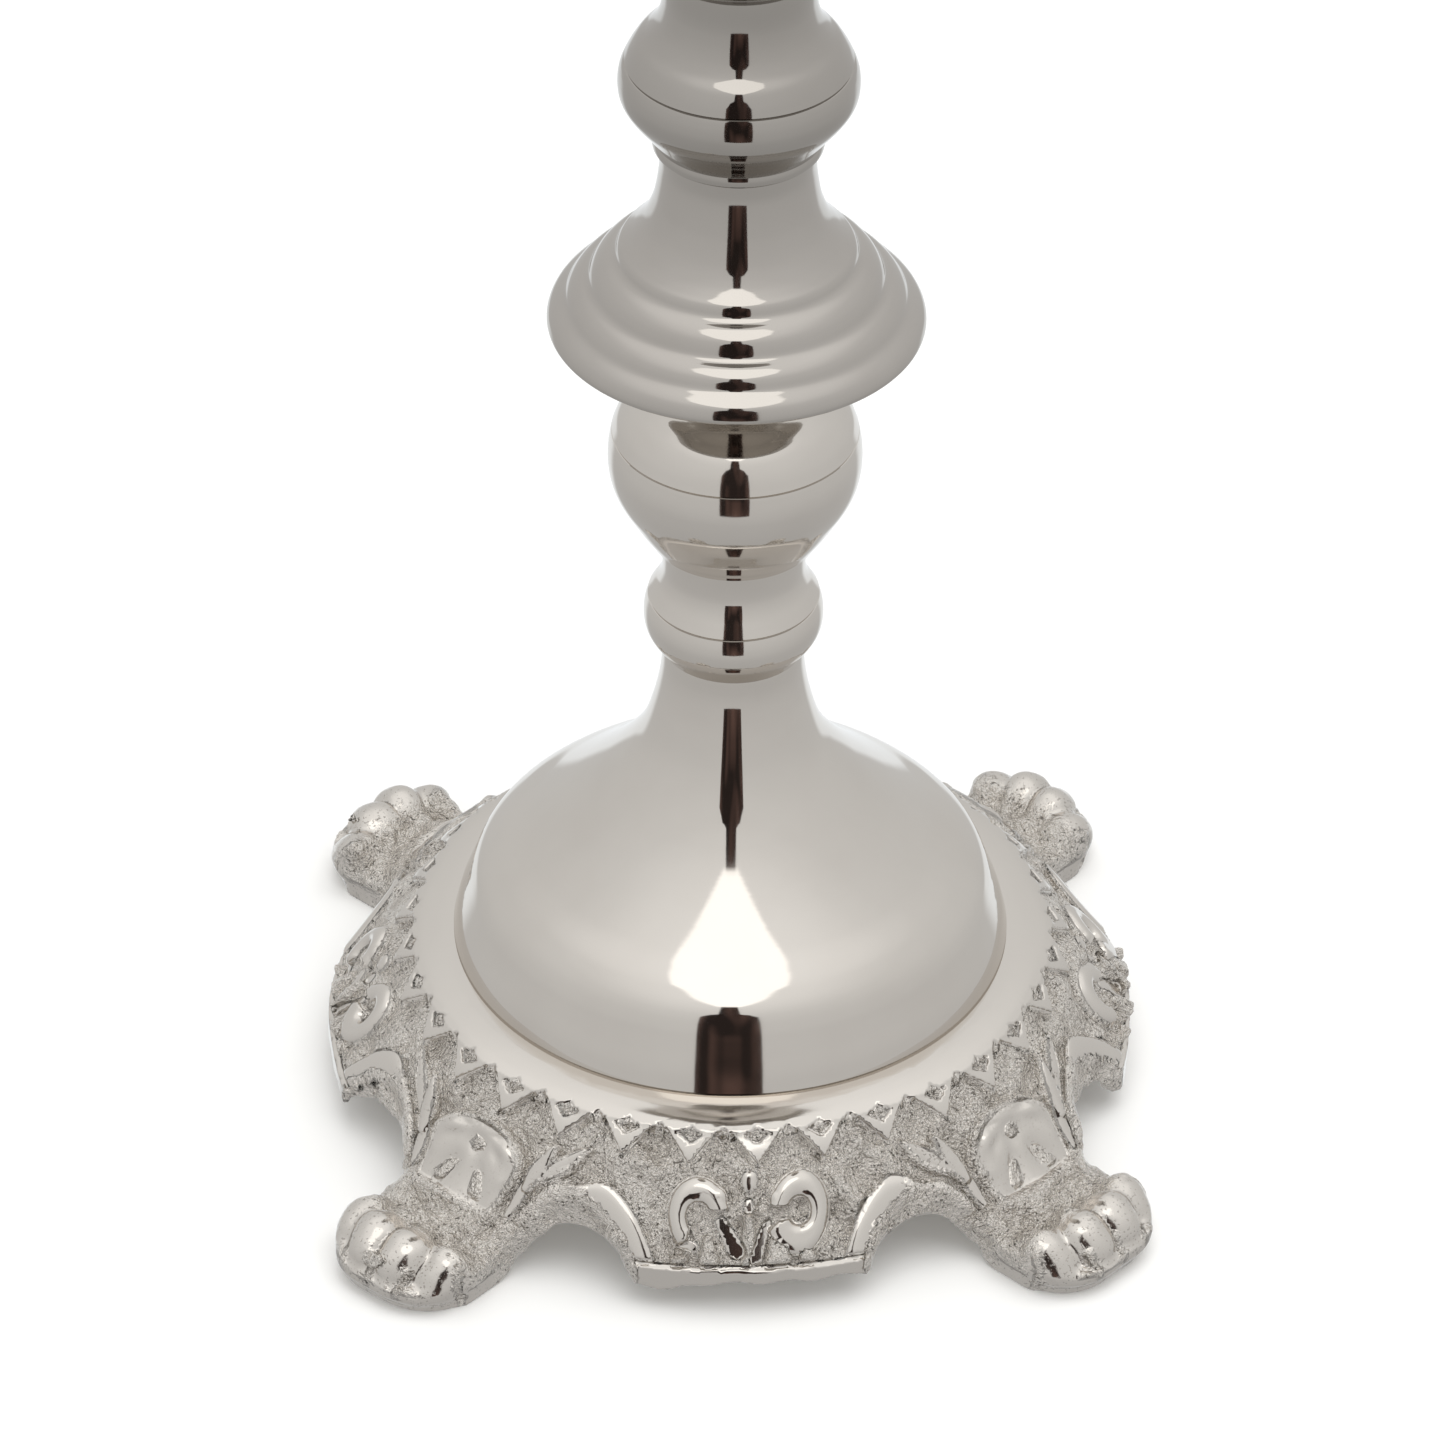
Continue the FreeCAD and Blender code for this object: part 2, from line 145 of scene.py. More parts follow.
NICKEL = (0.700, 0.666, 0.624)
NICKEL_HAZE = (0.670, 0.634, 0.592)
NICKEL_CAST = (0.790, 0.755, 0.708)  # the matt skin that the sand leaves
STAIN = (0.46, 0.42, 0.37)  # tarnish on the rough ground
PIT = (0.13, 0.11, 0.09)
ZINC_DULL, ZINC_CLEAR = (0.50, 0.50, 0.48), (0.62, 0.61, 0.57)


def polished_nickel(name, shade=1.0):
    """Mirror polish with a faint haze, buffing waves and hairline turning marks.
    shade darkens the colour as painted shade, standing in for dimmer reflections."""
    material, n = new_material(name)
    haze = n.noise(60.0, 4.0)
    # painted shade: both colours are darkened by the shade share
    clear, hazy = (tuple(shade * c for c in colour) for colour in (NICKEL, NICKEL_HAZE))
    n.surface("Base Color", n.mix_colour(n.ramp(haze, 0.0, 1.0, (0.35, 0.75)), clear, hazy))
    n.surface("Metallic", 1.0)
    smear = n.noise(140.0, 5.0, 0.6, (1, 1, 0.25))
    n.surface("Roughness", n.ramp(smear, 0.035, 0.085, (0.3, 0.75)))
    waves = n.bump(n.noise(38.0, 1.0), 0.05, 0.0006)
    lines = n.bump(n.noise(900.0, 2.0, 0.5, (0.03, 0.03, 1.0)), 0.035, 0.0001, waves)
    n.surface("Normal", lines)
    return material


def cast_nickel():
    """The base: sand-grained recesses with dark pits, and buffed high spots."""
    material, n = new_material("cast_nickel")
    polish = n.add("ShaderNodeAttribute", attribute_name="polish").outputs["Fac"]
    rough = n.maths("SUBTRACT", 1.0, polish)
    grain = n.noise(2600.0, 3.0, 0.6)
    blotch = n.noise(260.0, 4.0, 0.6)
    pits = n.noise(1900.0, 2.0, 0.55)
    clusters = n.ramp(n.noise(330.0, 2.0), 0.0, 0.085, (0.40, 0.70))
    pitted = n.ramp(n.maths("ADD", pits, clusters), 0.0, 1.0, (0.655, 0.70))
    pit_mask = n.times(pitted, n.ramp(rough, 0.0, 1.0, (0.1, 0.6)))
    sanded = n.ramp(rough, 0.0, 1.0, (0.30, 0.85))  # where the casting's own skin is left
    base = n.mix_colour(sanded, NICKEL, NICKEL_CAST)
    stain = n.times(n.ramp(blotch, 0.0, 0.45, (0.52, 0.72)), rough)
    base = n.mix_colour(stain, base, STAIN)
    base = n.mix_colour(n.times(pit_mask, 0.75), base, PIT)
    n.surface("Base Color", base)
    n.surface("Metallic", 1.0)
    gloss = n.ramp(polish, 0.20, 0.10)
    matt = n.times(n.times(grain, 0.10), rough)
    n.surface("Roughness", n.maths("ADD", gloss, matt))
    coarse = n.bump(n.times(n.noise(900.0, 3.0, 0.7), sanded), 1.0, 0.0009)
    sand = n.bump(n.times(n.noise(2100.0, 2.0, 0.6), sanded), 1.0, 0.0005, coarse)
    sunk = n.bump(n.times(pit_mask, -1.0), 0.6, 0.0002, sand)
    waves = n.bump(n.noise(70.0, 2.0), 0.10, 0.0008, sunk)
    n.surface("Normal", waves)
    return material


def zinc_steel():
    """Dull plated steel for the clamping hardware."""
    material, n = new_material("zinc_steel")
    grain = n.noise(500.0, 4.0, 0.6)
    n.surface("Base Color", n.mix_colour(grain, ZINC_DULL, ZINC_CLEAR))
    n.surface("Metallic", 1.0)
    n.surface("Roughness", n.ramp(grain, 0.28, 0.48))
    n.surface("Normal", n.bump(grain, 0.15, 0.0002))
    return material


# ======== Turned pieces: outlines are (radius, height) points in millimetres
PROFILE_STEP = 0.35  # spacing along a turned outline
SEGMENTS = 224
SAME_POINT, ON_AXIS = 1e-4, 1e-6


def between(t, ta, tb, a, b):
    """The point at t on the line through a at ta and b at tb."""
    return (tb - t) / (tb - ta) * a + (t - ta) / (tb - ta) * b


def smooth_run(points, step=PROFILE_STEP):
    """Points along a centripetal spline through (r, z) points, evenly spaced."""
    p = np.array(points, float)
    if len(p) == 2:
        count = max(1, int(np.hypot(*(p[1] - p[0])) / step))
        share = np.linspace(0, 1, count + 1)[:, None]
        return p[0] + share * (p[1] - p[0])
    ends = np.vstack([2 * p[0] - p[1], p, 2 * p[-1] - p[-2]])
    knots = np.r_[0, np.cumsum(np.sqrt(np.hypot(*np.diff(ends, axis=0).T)))]
    out = []
    for i in range(1, len(ends) - 2):
        p0, p1, p2, p3 = ends[i - 1:i + 3]
        t0, t1, t2, t3 = knots[i - 1:i + 3]
        count = max(2, int(np.hypot(*(p2 - p1)) / step))
        t = np.linspace(t1, t2, count, endpoint=False)[:, None]
        a1, a2, a3 = between(t, t0, t1, p0, p1), between(t, t1, t2, p1, p2), between(t, t2, t3, p2, p3)
        b1, b2 = between(t, t0, t2, a1, a2), between(t, t1, t3, a2, a3)
        out.append(between(t, t1, t2, b1, b2))
    out.append(p[-1:])
    return np.vstack(out)


def lathe(name, runs, material, sharp_degrees=24.0):
    """A closed turned piece. runs are smooth stretches, in order round the outline, that meet at
    corners."""
    outline = [smooth_run(run) for run in runs]
    points = np.vstack([part[:-1] for part in outline])
    keep = np.ones(len(points), bool)
    keep[1:] = np.hypot(*np.diff(points, axis=0).T) > SAME_POINT
    points = points[keep]
    turns = np.arange(SEGMENTS) * 2 * math.pi / SEGMENTS
    rows, verts = [], []
    for r, z in points:
        if r < ON_AXIS:
            rows.append([len(verts)] * SEGMENTS)
            verts.append((0, 0, z * MM))
            continue
        rows.append(list(range(len(verts), len(verts) + SEGMENTS)))
        verts += [(r * MM * c, r * MM * s, z * MM) for c, s in zip(np.cos(turns), np.sin(turns))]
    faces = []
    for i, row in enumerate(rows):
        above = rows[(i + 1) % len(rows)]
        if row[0] == row[1] and above[0] == above[1]:
            continue
        for k in range(SEGMENTS):
            j = (k + 1) % SEGMENTS
            face = [row[k], row[j], above[j], above[k]]
            faces.append([v for m, v in enumerate(face) if v != face[m - 1]])
    mesh = bpy.data.meshes.new(name)
    mesh.from_pydata(verts, [], faces)
    mesh.validate()
    piece = put(name, mesh)
    mesh.materials.append(material)
    mesh.shade_smooth()
    mesh.set_sharp_from_angle(angle=math.radians(sharp_degrees))
    return piece


BORE_R = 8.0  # hollow of every stem piece
SPIGOT_R = 7.9  # each piece's spigot, which sits in the bore of the piece below
SPIGOT = 3.0  # its length
INNER_R = 5.3  # clearance hole through the spigot


def stem_span(name):
    """Where a stem piece shows: from the top of its spigot to its own top."""
    low_z, high_z = node_z(name)
    return low_z + SPIGOT, high_z


def polyline(*points):
    """Straight runs through the points."""
    return [[a, b] for a, b in zip(points, points[1:])]


def spigot_runs(hole_r, low_z):
    """Down the hole through the spigot, round its end and back up to the foot of the piece."""
    return polyline((hole_r, low_z - SPIGOT), (SPIGOT_R, low_z - SPIGOT), (SPIGOT_R, low_z))


def stem_runs(outer, low_z, high_z):
    """Outer runs from foot to top, closed by the bore and the spigot."""
    head, foot = outer[-1][-1], outer[0][0]
    bore = polyline((head[0], high_z), (BORE_R, high_z), (BORE_R, low_z + 4), (INNER_R, low_z + 1),
                    (INNER_R, low_z - SPIGOT))
    return outer + bore + spigot_runs(INNER_R, low_z) + polyline((SPIGOT_R, low_z), (foot[0], low_z))


def groove(r, z, depth=0.45, width=0.34):
    """An engraved hairline across an outline that runs upwards."""
    return polyline((r, z - width / 2), (r - depth, z), (r, z + width / 2))


def dome_foot(material):
    top_z = node_z("dome_foot")[1]
    r0, z0, bevel = SEAM_R, SEAM_Z, 0.55
    outer = [
        [(r0 - bevel, z0), (r0, z0 + 0.4)],
        [(r0, z0 + 0.4), (45.2, 31.5), (44.0, 34.8), (43.35, 36.6)],
        [(43.35, 36.6), (42.6, 38.6), (41.4, 40.7), (38.6, 43.5), (33.6, 47.3), (27.2, 53.0), (21.1, 59.3),
         (16.7, 65.0), (14.55, 69.0), (12.75, 75.0), (11.95, 79.0), (11.6, 82.0), (11.5, top_z)],
    ]
    inner = [
        *polyline((11.5, top_z), (BORE_R, top_z), (BORE_R, 76.0)),
        [(BORE_R, 76.0), (12.4, 66.5), (18.2, 58.6), (28.2, 48.4), (40.2, 37.5), (43.3, z0)],
        [(43.3, z0), (r0 - bevel, z0)],
    ]
    return lathe("dome_foot_visual", outer + inner, material)


def ring_knop(material):
    low_z, high_z = stem_span("ring_knop")
    outer = [
        [(11.7, low_z), (12.3, low_z + 0.9)],
        [(12.3, low_z + 0.9), (13.6, 88.3), (14.25, 89.8), (14.5, 91.6), (14.35, 93.6), (13.9, 95.2)],
        *groove(13.85, 95.4),
        [(13.8, 95.6), (12.95, 97.0), (12.1, 98.5), (11.6, 100.2), (11.5, 102.5), (11.9, high_z)],
    ]
    return lathe("ring_knop_visual", stem_runs(outer, low_z, high_z), material)


def bulb_knop(material):
    low_z, high_z = stem_span("bulb_knop")
    outer = [
        [(13.5, low_z), (13.9, low_z + 0.7)],
        [(13.9, low_z + 0.7), (15.6, 110.3), (17.2, 113.0), (19.0, 116.3), (19.9, 119.0), (20.24, 122.0),
         (20.12, 124.6), (19.7, 127.05)],
        *groove(19.66, 127.22),
        [(19.62, 127.4), (18.7, 129.7), (17.1, 132.1), (15.3, 134.0), (13.5, 135.8), (12.0, 138.0),
         (11.2, 141.0), (11.0, high_z)],
    ]
    return lathe("bulb_knop_visual", stem_runs(outer, low_z, high_z), material)


def bell_skirt(material):
    low_z, high_z = stem_span("bell_skirt")
    outer = [
        [(28.9, 147.85), (29.55, 147.95), (29.74, 148.4), (29.6, 149.3), (29.0, 150.4), (28.0, 151.35),
         (27.2, 151.95), (26.75, 152.45), (26.4, 153.15), (25.75, 154.05), (24.7, 154.95), (23.7, 155.5),
         (23.15, 156.05), (22.8, 156.9), (22.05, 158.15), (20.8, 159.35), (19.5, 160.15), (18.95, 160.75),
         (18.75, 161.35), (18.35, 162.1), (17.6, 162.85), (16.2, 164.4), (14.5, 166.9), (13.25, 170.1),
         (12.74, 172.4), (12.3, 175.6), (12.2, 177.5), (12.4, high_z)],
    ]
    inner = [
        *polyline((12.4, high_z), (BORE_R, high_z), (BORE_R, 150.0), (INNER_R, 149.0),
                  (INNER_R, low_z - SPIGOT)),
        *spigot_runs(INNER_R, low_z),
        *polyline((SPIGOT_R, low_z), (10.8, low_z), (11.4, 149.0)),
        [(11.4, 149.0), (14.6, 153.4), (21.0, 151.6), (26.6, 148.9), (28.4, 147.8)],
        [(28.4, 147.8), (28.9, 147.85)],
    ]
    return lathe("bell_skirt_visual", outer + inner, material)


def upper_knop(material):
    low_z, high_z = stem_span("upper_knop")
    outer = [
        [(12.6, low_z), (13.3, low_z + 0.6), (13.4, 181.6), (13.3, 182.2)],
        [(13.3, 182.2), (13.8, 183.0)],
        [(13.8, 183.0), (15.4, 185.2), (17.4, 187.8), (18.4, 189.7), (18.66, 191.6), (18.45, 193.5),
         (17.85, 195.15)],
        *groove(17.75, 195.35),
        [(17.65, 195.55), (16.9, 197.0), (15.7, 198.8), (14.2, 200.4), (12.7, 202.8), (11.9, 206.0),
         (12.0, high_z)],
    ]
    return lathe("upper_knop_visual", stem_runs(outer, low_z, high_z), material)


def collar_ring(material):
    low_z, high_z = stem_span("collar_ring")
    outer = [
        [(12.8, low_z), (13.4, low_z + 0.8)],
        [(13.4, low_z + 0.8), (15.0, 215.2), (15.35, 217.0), (14.8, 218.5)],
        [(14.8, 218.5), (13.0, 219.8), (12.2, high_z)],
    ]
    return lathe("collar_ring_visual", stem_runs(outer, low_z, high_z), material)


def socket_vase(material):
    low_z, high_z = stem_span("socket_vase")
    bore_r, rod_hole_r, floor_z = 13.0, 3.0, 228.0
    runs = [
        [(11.9, low_z), (12.4, low_z + 0.8)],
        [(12.4, low_z + 0.8), (15.4, 226.8), (17.1, 230.4), (17.8, 235.0), (17.5, 241.5), (16.4, 248.0),
         (15.8, 252.0), (16.1, 254.6), (16.6, 256.2)],
        *polyline((16.6, 256.2), (16.6, high_z), (bore_r, high_z), (bore_r, floor_z),
                  (rod_hole_r, floor_z), (rod_hole_r, low_z - SPIGOT)),
        *spigot_runs(rod_hole_r, low_z),
        [(SPIGOT_R, low_z), (11.9, low_z)],
    ]
    return lathe("socket_vase_visual", runs, material)


def drip_nozzle(material):
    low_z, rim_z = node_z("drip_nozzle")
    sleeve_r, candle_r, lip_r = 12.6, 11.2, 12.6
    seat_z, mouth_z, floor_z = 257.0, 260.6, 234.6
    edge = 0.75  # half the thickness of the pan's rim
    runs = [
        *polyline((0, low_z), (sleeve_r - 0.5, low_z), (sleeve_r, low_z + 0.5), (sleeve_r, seat_z),
                  (18.0, seat_z)),
        [(18.0, seat_z), (25.0, 258.2), (30.6, 261.4), (PAN_R, rim_z - edge), (PAN_R - edge, rim_z),
         (PAN_R - 2 * edge, rim_z - edge), (29.0, 262.6), (24.4, 259.9), (16.6, 258.9)],
        [(16.6, 258.9), (lip_r + 0.5, 258.9), (lip_r, 259.4)],
        [(lip_r, 259.4), (lip_r, mouth_z - 0.5), (lip_r - 0.5, mouth_z), (candle_r + 0.3, mouth_z),
         (candle_r, mouth_z - 0.3)],
        *polyline((candle_r, mouth_z - 0.3), (candle_r, floor_z), (0, floor_z), (0, low_z)),
    ]
    return lathe("drip_nozzle_visual", runs, material)


# ======== The cast base, worked out as a distance field and meshed from it
TEETH = 32
TOOTH_TURN = 1.6  # the teeth are turned this many degrees from the panels' middles
TOOTH_R = 54.0  # where their pitch is measured
RING_R, RING_Z = 53.0, 26.6  # edge of the polished ring
TIP_R, TIP_Z = 56.0, 22.6  # foot of the teeth and top of the sloping face
PANEL_R, BAND_TOP = 66.4, 9.1  # foot of the sloping face
BAND_R, BAND_LOW = 67.4, 6.0  # the plain band under each panel
WALL = 3.5
FLANGE_BORE_R, FLANGE_LOW = 38.0, 24.5
SLOPE = math.hypot(PANEL_R - TIP_R, TIP_Z - BAND_TOP)
DOWN = np.array([PANEL_R - TIP_R, BAND_TOP - TIP_Z]) / SLOPE  # down the sloping face
OUT = np.array([-DOWN[1], DOWN[0]])  # square to it, outwards
RING_RUN = math.hypot(RING_R - SEAM_R, SEAM_Z - RING_Z)
TIP_RUN = RING_RUN + math.hypot(TIP_R - RING_R, RING_Z - TIP_Z)
NOTCH_RUN = RING_RUN - 0.9

QUARTER = math.pi / 2
ARCH_TURN = math.radians(25.0)
BITE_R = 15.2  # upright hollow that sets each arch back from the panels
BITE_AT = 78.0  # distance of its axis from the candlestick's
ARCH_HALF, ARCH_TOP = 11.4, 10.3
ARCH_SCALE = 9.5  # turns the arch's ellipse into a rough distance
RIM_LIFT, RIM_HALF, RIM_IN = 1.3, 2.0, 1.6  # raised rim round each arch
TOOTH_LIFT, NOTCH_DEPTH, NOTCH_RISE, DIMPLE_DEPTH = 0.8, 1.8, 1.3, 0.8
PAW_HALF = 12.5
PAW_FRONT = 87.0
PAW_SHINE = 0.74  # the paws are brushed, not mirror-bright
TOE_R, TOE_PITCH = 3.85, 5.8
HEEL_AT = 61.7  # distance from the axis at which the heel's underside meets the bands' level
HEEL_FALL = 0.82  # slope of the heel's underside
LIFT_SHARE = 0.92  # the relief is raised by this share, as the field isn't a true distance
WARP_ACROSS, WARP_UP = 0.24, 0.22  # how far the casting wanders from true
GRAIN_DEPTH, FINE_DEPTH, LUMP_DEPTH, WRINKLE_DEPTH = 0.05, 0.045, 0.34, 0.16


def smin(a, b, k):
    """Rounded union of two distances."""
    h = np.maximum(k - np.abs(a - b), 0) / k
    return np.minimum(a, b) - h * h * k * 0.25


def smax(a, b, k):
    """Rounded intersection of two distances."""
    return -smin(-a, -b, k)


def step(low, high, value):
    """Smooth step from 0 to 1."""
    t = np.clip((value - low) / (high - low), 0, 1)
    return t * t * (3 - 2 * t)


def ridge(distance, half_width):
    """A rounded bead's height, 1 on its middle line and 0 beyond half_width."""
    t = np.clip(1 - (distance / half_width) ** 2, 0, 1)
    return np.sqrt(t)


def to_segment(px, py, a, b):
    """Distance in the plane to a segment, and the share along it."""
    (ax, ay), (dx, dy) = a, (b[0] - a[0], b[1] - a[1])
    t = np.clip(((px - ax) * dx + (py - ay) * dy) / (dx * dx + dy * dy), 0, 1)
    return np.hypot(px - ax - t * dx, py - ay - t * dy), t


def bar(p, a, b, ra, rb):
    """Distance to a round-ended bar in space that tapers from ra to rb."""
    d = [b[i] - a[i] for i in range(3)]
    q = [p[i] - a[i] for i in range(3)]
    t = np.clip((q[0] * d[0] + q[1] * d[1] + q[2] * d[2]) / (d[0] ** 2 + d[1] ** 2 + d[2] ** 2), 0, 1)
    gap = np.sqrt(sum((q[i] - t * d[i]) ** 2 for i in range(3)))
    return gap - (ra + t * (rb - ra))


class Waves:
    """Smooth, seeded 3-D noise: a sum of plane waves, about -1 to 1."""

    def __init__(self, seed, wavelength, count=14):
        rng = np.random.default_rng(seed)
        direction = rng.normal(size=(count, 3))
        direction /= np.linalg.norm(direction, axis=1)[:, None]
        length = wavelength * rng.uniform(0.7, 1.5, count)
        self.k = (direction * (2 * math.pi / length)[:, None]).astype(np.float32)
        self.phase = rng.uniform(0, 2 * math.pi, count).astype(np.float32)
        self.gain = 1.6 / math.sqrt(count)

    def __call__(self, x, y, z):
        total = 0
        for k, phase in zip(self.k, self.phase):
            total = total + np.sin(k[0] * x + k[1] * y + k[2] * z + phase)
        return total * self.gain


WARP_X, WARP_Y, WARP_Z = Waves(11, 26.0, 6), Waves(12, 26.0, 6), Waves(13, 22.0, 6)
GRAIN = Waves(21, 2.1, 22)
GRAIN_FINE = Waves(22, 1.05, 22)
LUMPS = Waves(23, 6.5, 12)
TABLE_PITCH = 0.125


def outline_table():
    """Distance to the turned cross-section of the skirt, on a fine (r, z) grid."""
    ring = smooth_run([(SEAM_R, SEAM_Z), (48.0, 27.9), (50.4, 27.5), (51.8, 27.15), (RING_R, RING_Z)], 0.8)
    rest = np.array([
        (TIP_R, TIP_Z), (PANEL_R, BAND_TOP), (BAND_R, BAND_TOP - 0.3), (BAND_R, -6), (BAND_R - WALL, -6),
        (BAND_R - WALL, BAND_TOP - WALL / 2), (TIP_R - WALL, TIP_Z - WALL / 2), (RING_R - WALL, FLANGE_LOW),
        (FLANGE_BORE_R, FLANGE_LOW), (FLANGE_BORE_R, SEAM_Z),
    ])
    poly = np.vstack([ring, rest])
    r = np.arange(30, 96, TABLE_PITCH)
    z = np.arange(-8, 36, TABLE_PITCH)
    R, Z = np.meshgrid(r, z, indexing="ij")
    gap = np.full(R.shape, 1e9)
    inside = np.zeros(R.shape, bool)
    for a, b in zip(poly, np.roll(poly, -1, axis=0)):
        gap = np.minimum(gap, to_segment(R, Z, a, b)[0])
        crosses = (a[1] > Z) != (b[1] > Z)
        with np.errstate(divide="ignore", invalid="ignore"):
            at = a[0] + (Z - a[1]) * (b[0] - a[0]) / (b[1] - a[1])
        inside ^= crosses & (R < at)
    return r[0], z[0], np.where(inside, -gap, gap).astype(np.float32)


TABLE = outline_table()


def turned_gap(r, z):
    """Distance to the turned cross-section, read from the table."""
    r0, z0, table = TABLE
    fr = np.clip((r - r0) / TABLE_PITCH, 0, table.shape[0] - 1.001)
    fz = np.clip((z - z0) / TABLE_PITCH, 0, table.shape[1] - 1.001)
    i, j = fr.astype(np.int32), fz.astype(np.int32)
    u, v = fr - i, fz - j
    return ((table[i, j] * (1 - u) + table[i + 1, j] * u) * (1 - v)
            + (table[i, j + 1] * (1 - u) + table[i + 1, j + 1] * u) * v)


def flat_bead(distance, half_width, soft=0.8):
    """A broad bead's height: flat along its middle, rounded off over soft at its sides."""
    t = np.clip((half_width - distance) / soft, 0, 1)
    return np.sqrt(np.clip(1 - (1 - t) ** 2, 0, 1))


# leaves on a panel: side (right, left or both), root, tip, half widths at the two
ROUGH_LEAVES = (
    (None, (0, 7.6), (0, 16.2), 0.9, 1.5), (False, (6.4, 12.6), (6.4, 16.2), 0.9, 1.8),
    (True, (4.7, 12.0), (4.7, 15.8), 1.3, 2.3), (True, (8.8, 14.4), (9.6, 16.2), 1.0, 1.6),
    (False, (10.4, 15.8), (12.0, 16.4), 0.8, 1.0),
)
SMOOTH_LEAVES = (
    (False, (4.3, 9.6), (1.9, 14.4), 0.9, 1.4), (False, (8.9, 13.8), (11.3, 13.0), 0.9, 1.0),
    (True, (3.0, 9.8), (1.1, 15.9), 0.6, 1.2), (None, (0, 6.6), (0, 7.6), 0.7, 0.8),
)
SCROLL_LIFT, EYE_LIFT, BUD_LIFT, LEAF_LIFT = 1.9, 1.8, 1.3, 1.9


def leaf_shapes(w, s, right, leaves):
    """For each leaf: distance from its midrib, its half width, the share along it, and where it shows."""
    for on_right, root, tip, r0, r1 in leaves:
        gap, t = to_segment(w, s, root, tip)
        yield gap, r0 + t * (r1 - r0), t, 1.0 if on_right is None else (right == on_right)


def panel_relief(w, side, s):
    """Scrolls, bud and leaves on a panel. w is across from its middle, side its sign, s down its
    face."""
    right = side > 0
    # each scroll is a broad hooked loop that ends in an eye near the middle
    dx, dy = (w - 8.0) / 3.4, (s - np.where(right, 8.4, 8.8)) / 4.5
    q = np.sqrt(dx * dx + dy * dy) + 1e-6
    around = np.arctan2(dy, dx)  # 0 outwards, positive downwards
    thick = 2.0 + 0.5 * np.where(right, step(0.2, 1.6, around), 0)
    inner_side = (dy > -0.3) * np.ones_like(w)
    opening = np.where(right, step(2.7, 2.95, np.abs(around)) * inner_side,
                       np.maximum(step(0.75, 1.2, around), step(2.5, 2.8, np.abs(around)) * inner_side))
    loop = np.abs(q - 1) * 3.9 + 2.6 * opening
    height = SCROLL_LIFT * flat_bead(loop, thick, 1.9)
    polish = step(thick + 0.2, thick * 0.75, loop)
    eye = np.hypot(w - np.where(right, 4.6, 5.3), s - np.where(right, 5.9, 5.5))
    eye_r = np.where(right, 1.6, 2.1)
    height = np.maximum(height, EYE_LIFT * flat_bead(eye, eye_r, 1.6))
    polish = np.maximum(polish, step(eye_r, eye_r * 0.7, eye))
    height = height - 0.5 * step(0.62, 0.35, q)
    # bud over the middle
    bud, _ = to_segment(w, s, (0, 2.6), (0, 3.4))
    height = np.maximum(height, BUD_LIFT * flat_bead(bud, 1.5, 1.1))
    polish = np.maximum(polish, step(1.5, 1.0, bud))
    # a fan of rough leaves with smooth flat ones between them
    rough = np.zeros_like(w)
    for gap, half, t, shown in leaf_shapes(w, s, right, ROUGH_LEAVES):
        rough = np.maximum(rough, shown * flat_bead(gap, half, 1.0) * (0.8 + 0.4 * t))
    smooth = np.zeros_like(w)
    for gap, half, t, shown in leaf_shapes(w, s, right, SMOOTH_LEAVES):
        smooth = np.maximum(smooth, shown * step(0.3, -0.3, gap - half))
    on_leaf = LEAF_LIFT * rough * (1 - smooth)
    polish = np.where(on_leaf > height, np.minimum(polish, 0.2), polish)
    height = np.maximum(height, on_leaf) + 0.25 * smooth * (height < 0.6)
    polish = np.maximum(polish, smooth)
    return height, polish


KNEE_S, KNEE_HALF, KNEE_UPPER = 9.6, 9.2, 6.9  # widest place down the face, half width, height above
KNEE_LIFT, KNEE_SHINE = 2.5, 0.86


def knee_relief(v, s):
    """The palmette over a leg. v is across from the leg's middle (folded), s down the face."""
    upper = np.minimum(s - KNEE_S, 0) / KNEE_UPPER
    half = KNEE_HALF - 0.14 * np.maximum(s - KNEE_S, 0)
    q = np.sqrt((v / half) ** 2 + upper ** 2)
    edge = (1 - q) * 8.4  # distance in from the shield's outline
    height = KNEE_LIFT * flat_bead(-edge, 0.6, 3.4)
    # a small pitted middle, and lobes that spread from it
    middle = np.exp(-(v / 2.1) ** 2 - ((s - 7.2) / 2.0) ** 2)
    height = height - 1.1 * middle
    fan = np.arctan2(v, s - 5.2)
    valleys = (0.5 - 0.5 * np.cos(fan * 9.0)) ** 1.3
    away = step(1.8, 5.0, np.hypot(v, s - 6.6)) * step(0.0, 2.0, edge)
    height = height - (0.5 + 0.35 * step(9.0, 13.0, s)) * valleys * away
    curl, _ = to_segment(v, s, (5.6, 6.0), (7.4, 11.0))
    height = height + 0.5 * np.exp(-(curl / 1.5) ** 2) * step(0.0, 1.5, edge)
    low_cut = valleys * step(9.5, 12.5, s) * step(17.5, 15.0, s)
    polish = (step(-0.3, 1.4, edge) * (1 - 0.8 * step(0.5, 0.95, middle))
              * (1 - 0.6 * step(0.4, 1.0, low_cut)))
    polish = KNEE_SHINE * polish * step(18.5, 15.5, s)
    return height, polish


SIDE_LEAVES = (  # root, tip, half widths at the two, lift, shine
    ((10.4, 16.5), (11.6, 7.5), 1.0, 0.8, 1.3, 0.95),
    ((11.6, 10.8), (13.4, 2.6), 1.5, 0.9, 1.9, 0.85),
    ((13.8, 8.2), (18.6, 1.2), 1.5, 0.8, 1.5, 0.70),
)


def side_leaves(v, s):
    """Leaf fingers between a palmette and the arch rims beside it."""
    height = np.zeros_like(v)
    polish = np.zeros_like(v)
    for start, end, r0, r1, lift, shine in SIDE_LEAVES:
        gap, t = to_segment(v, s, start, end)
        width = (r0 + t * (r1 - r0)) * (0.6 + 0.8 * np.sin(math.pi * np.clip(t, 0.02, 0.98)))
        height = np.maximum(height, lift * ridge(gap, width * 1.3))
        polish = np.maximum(polish, shine * step(width * 1.1, width * 0.5, gap))
    return height, polish


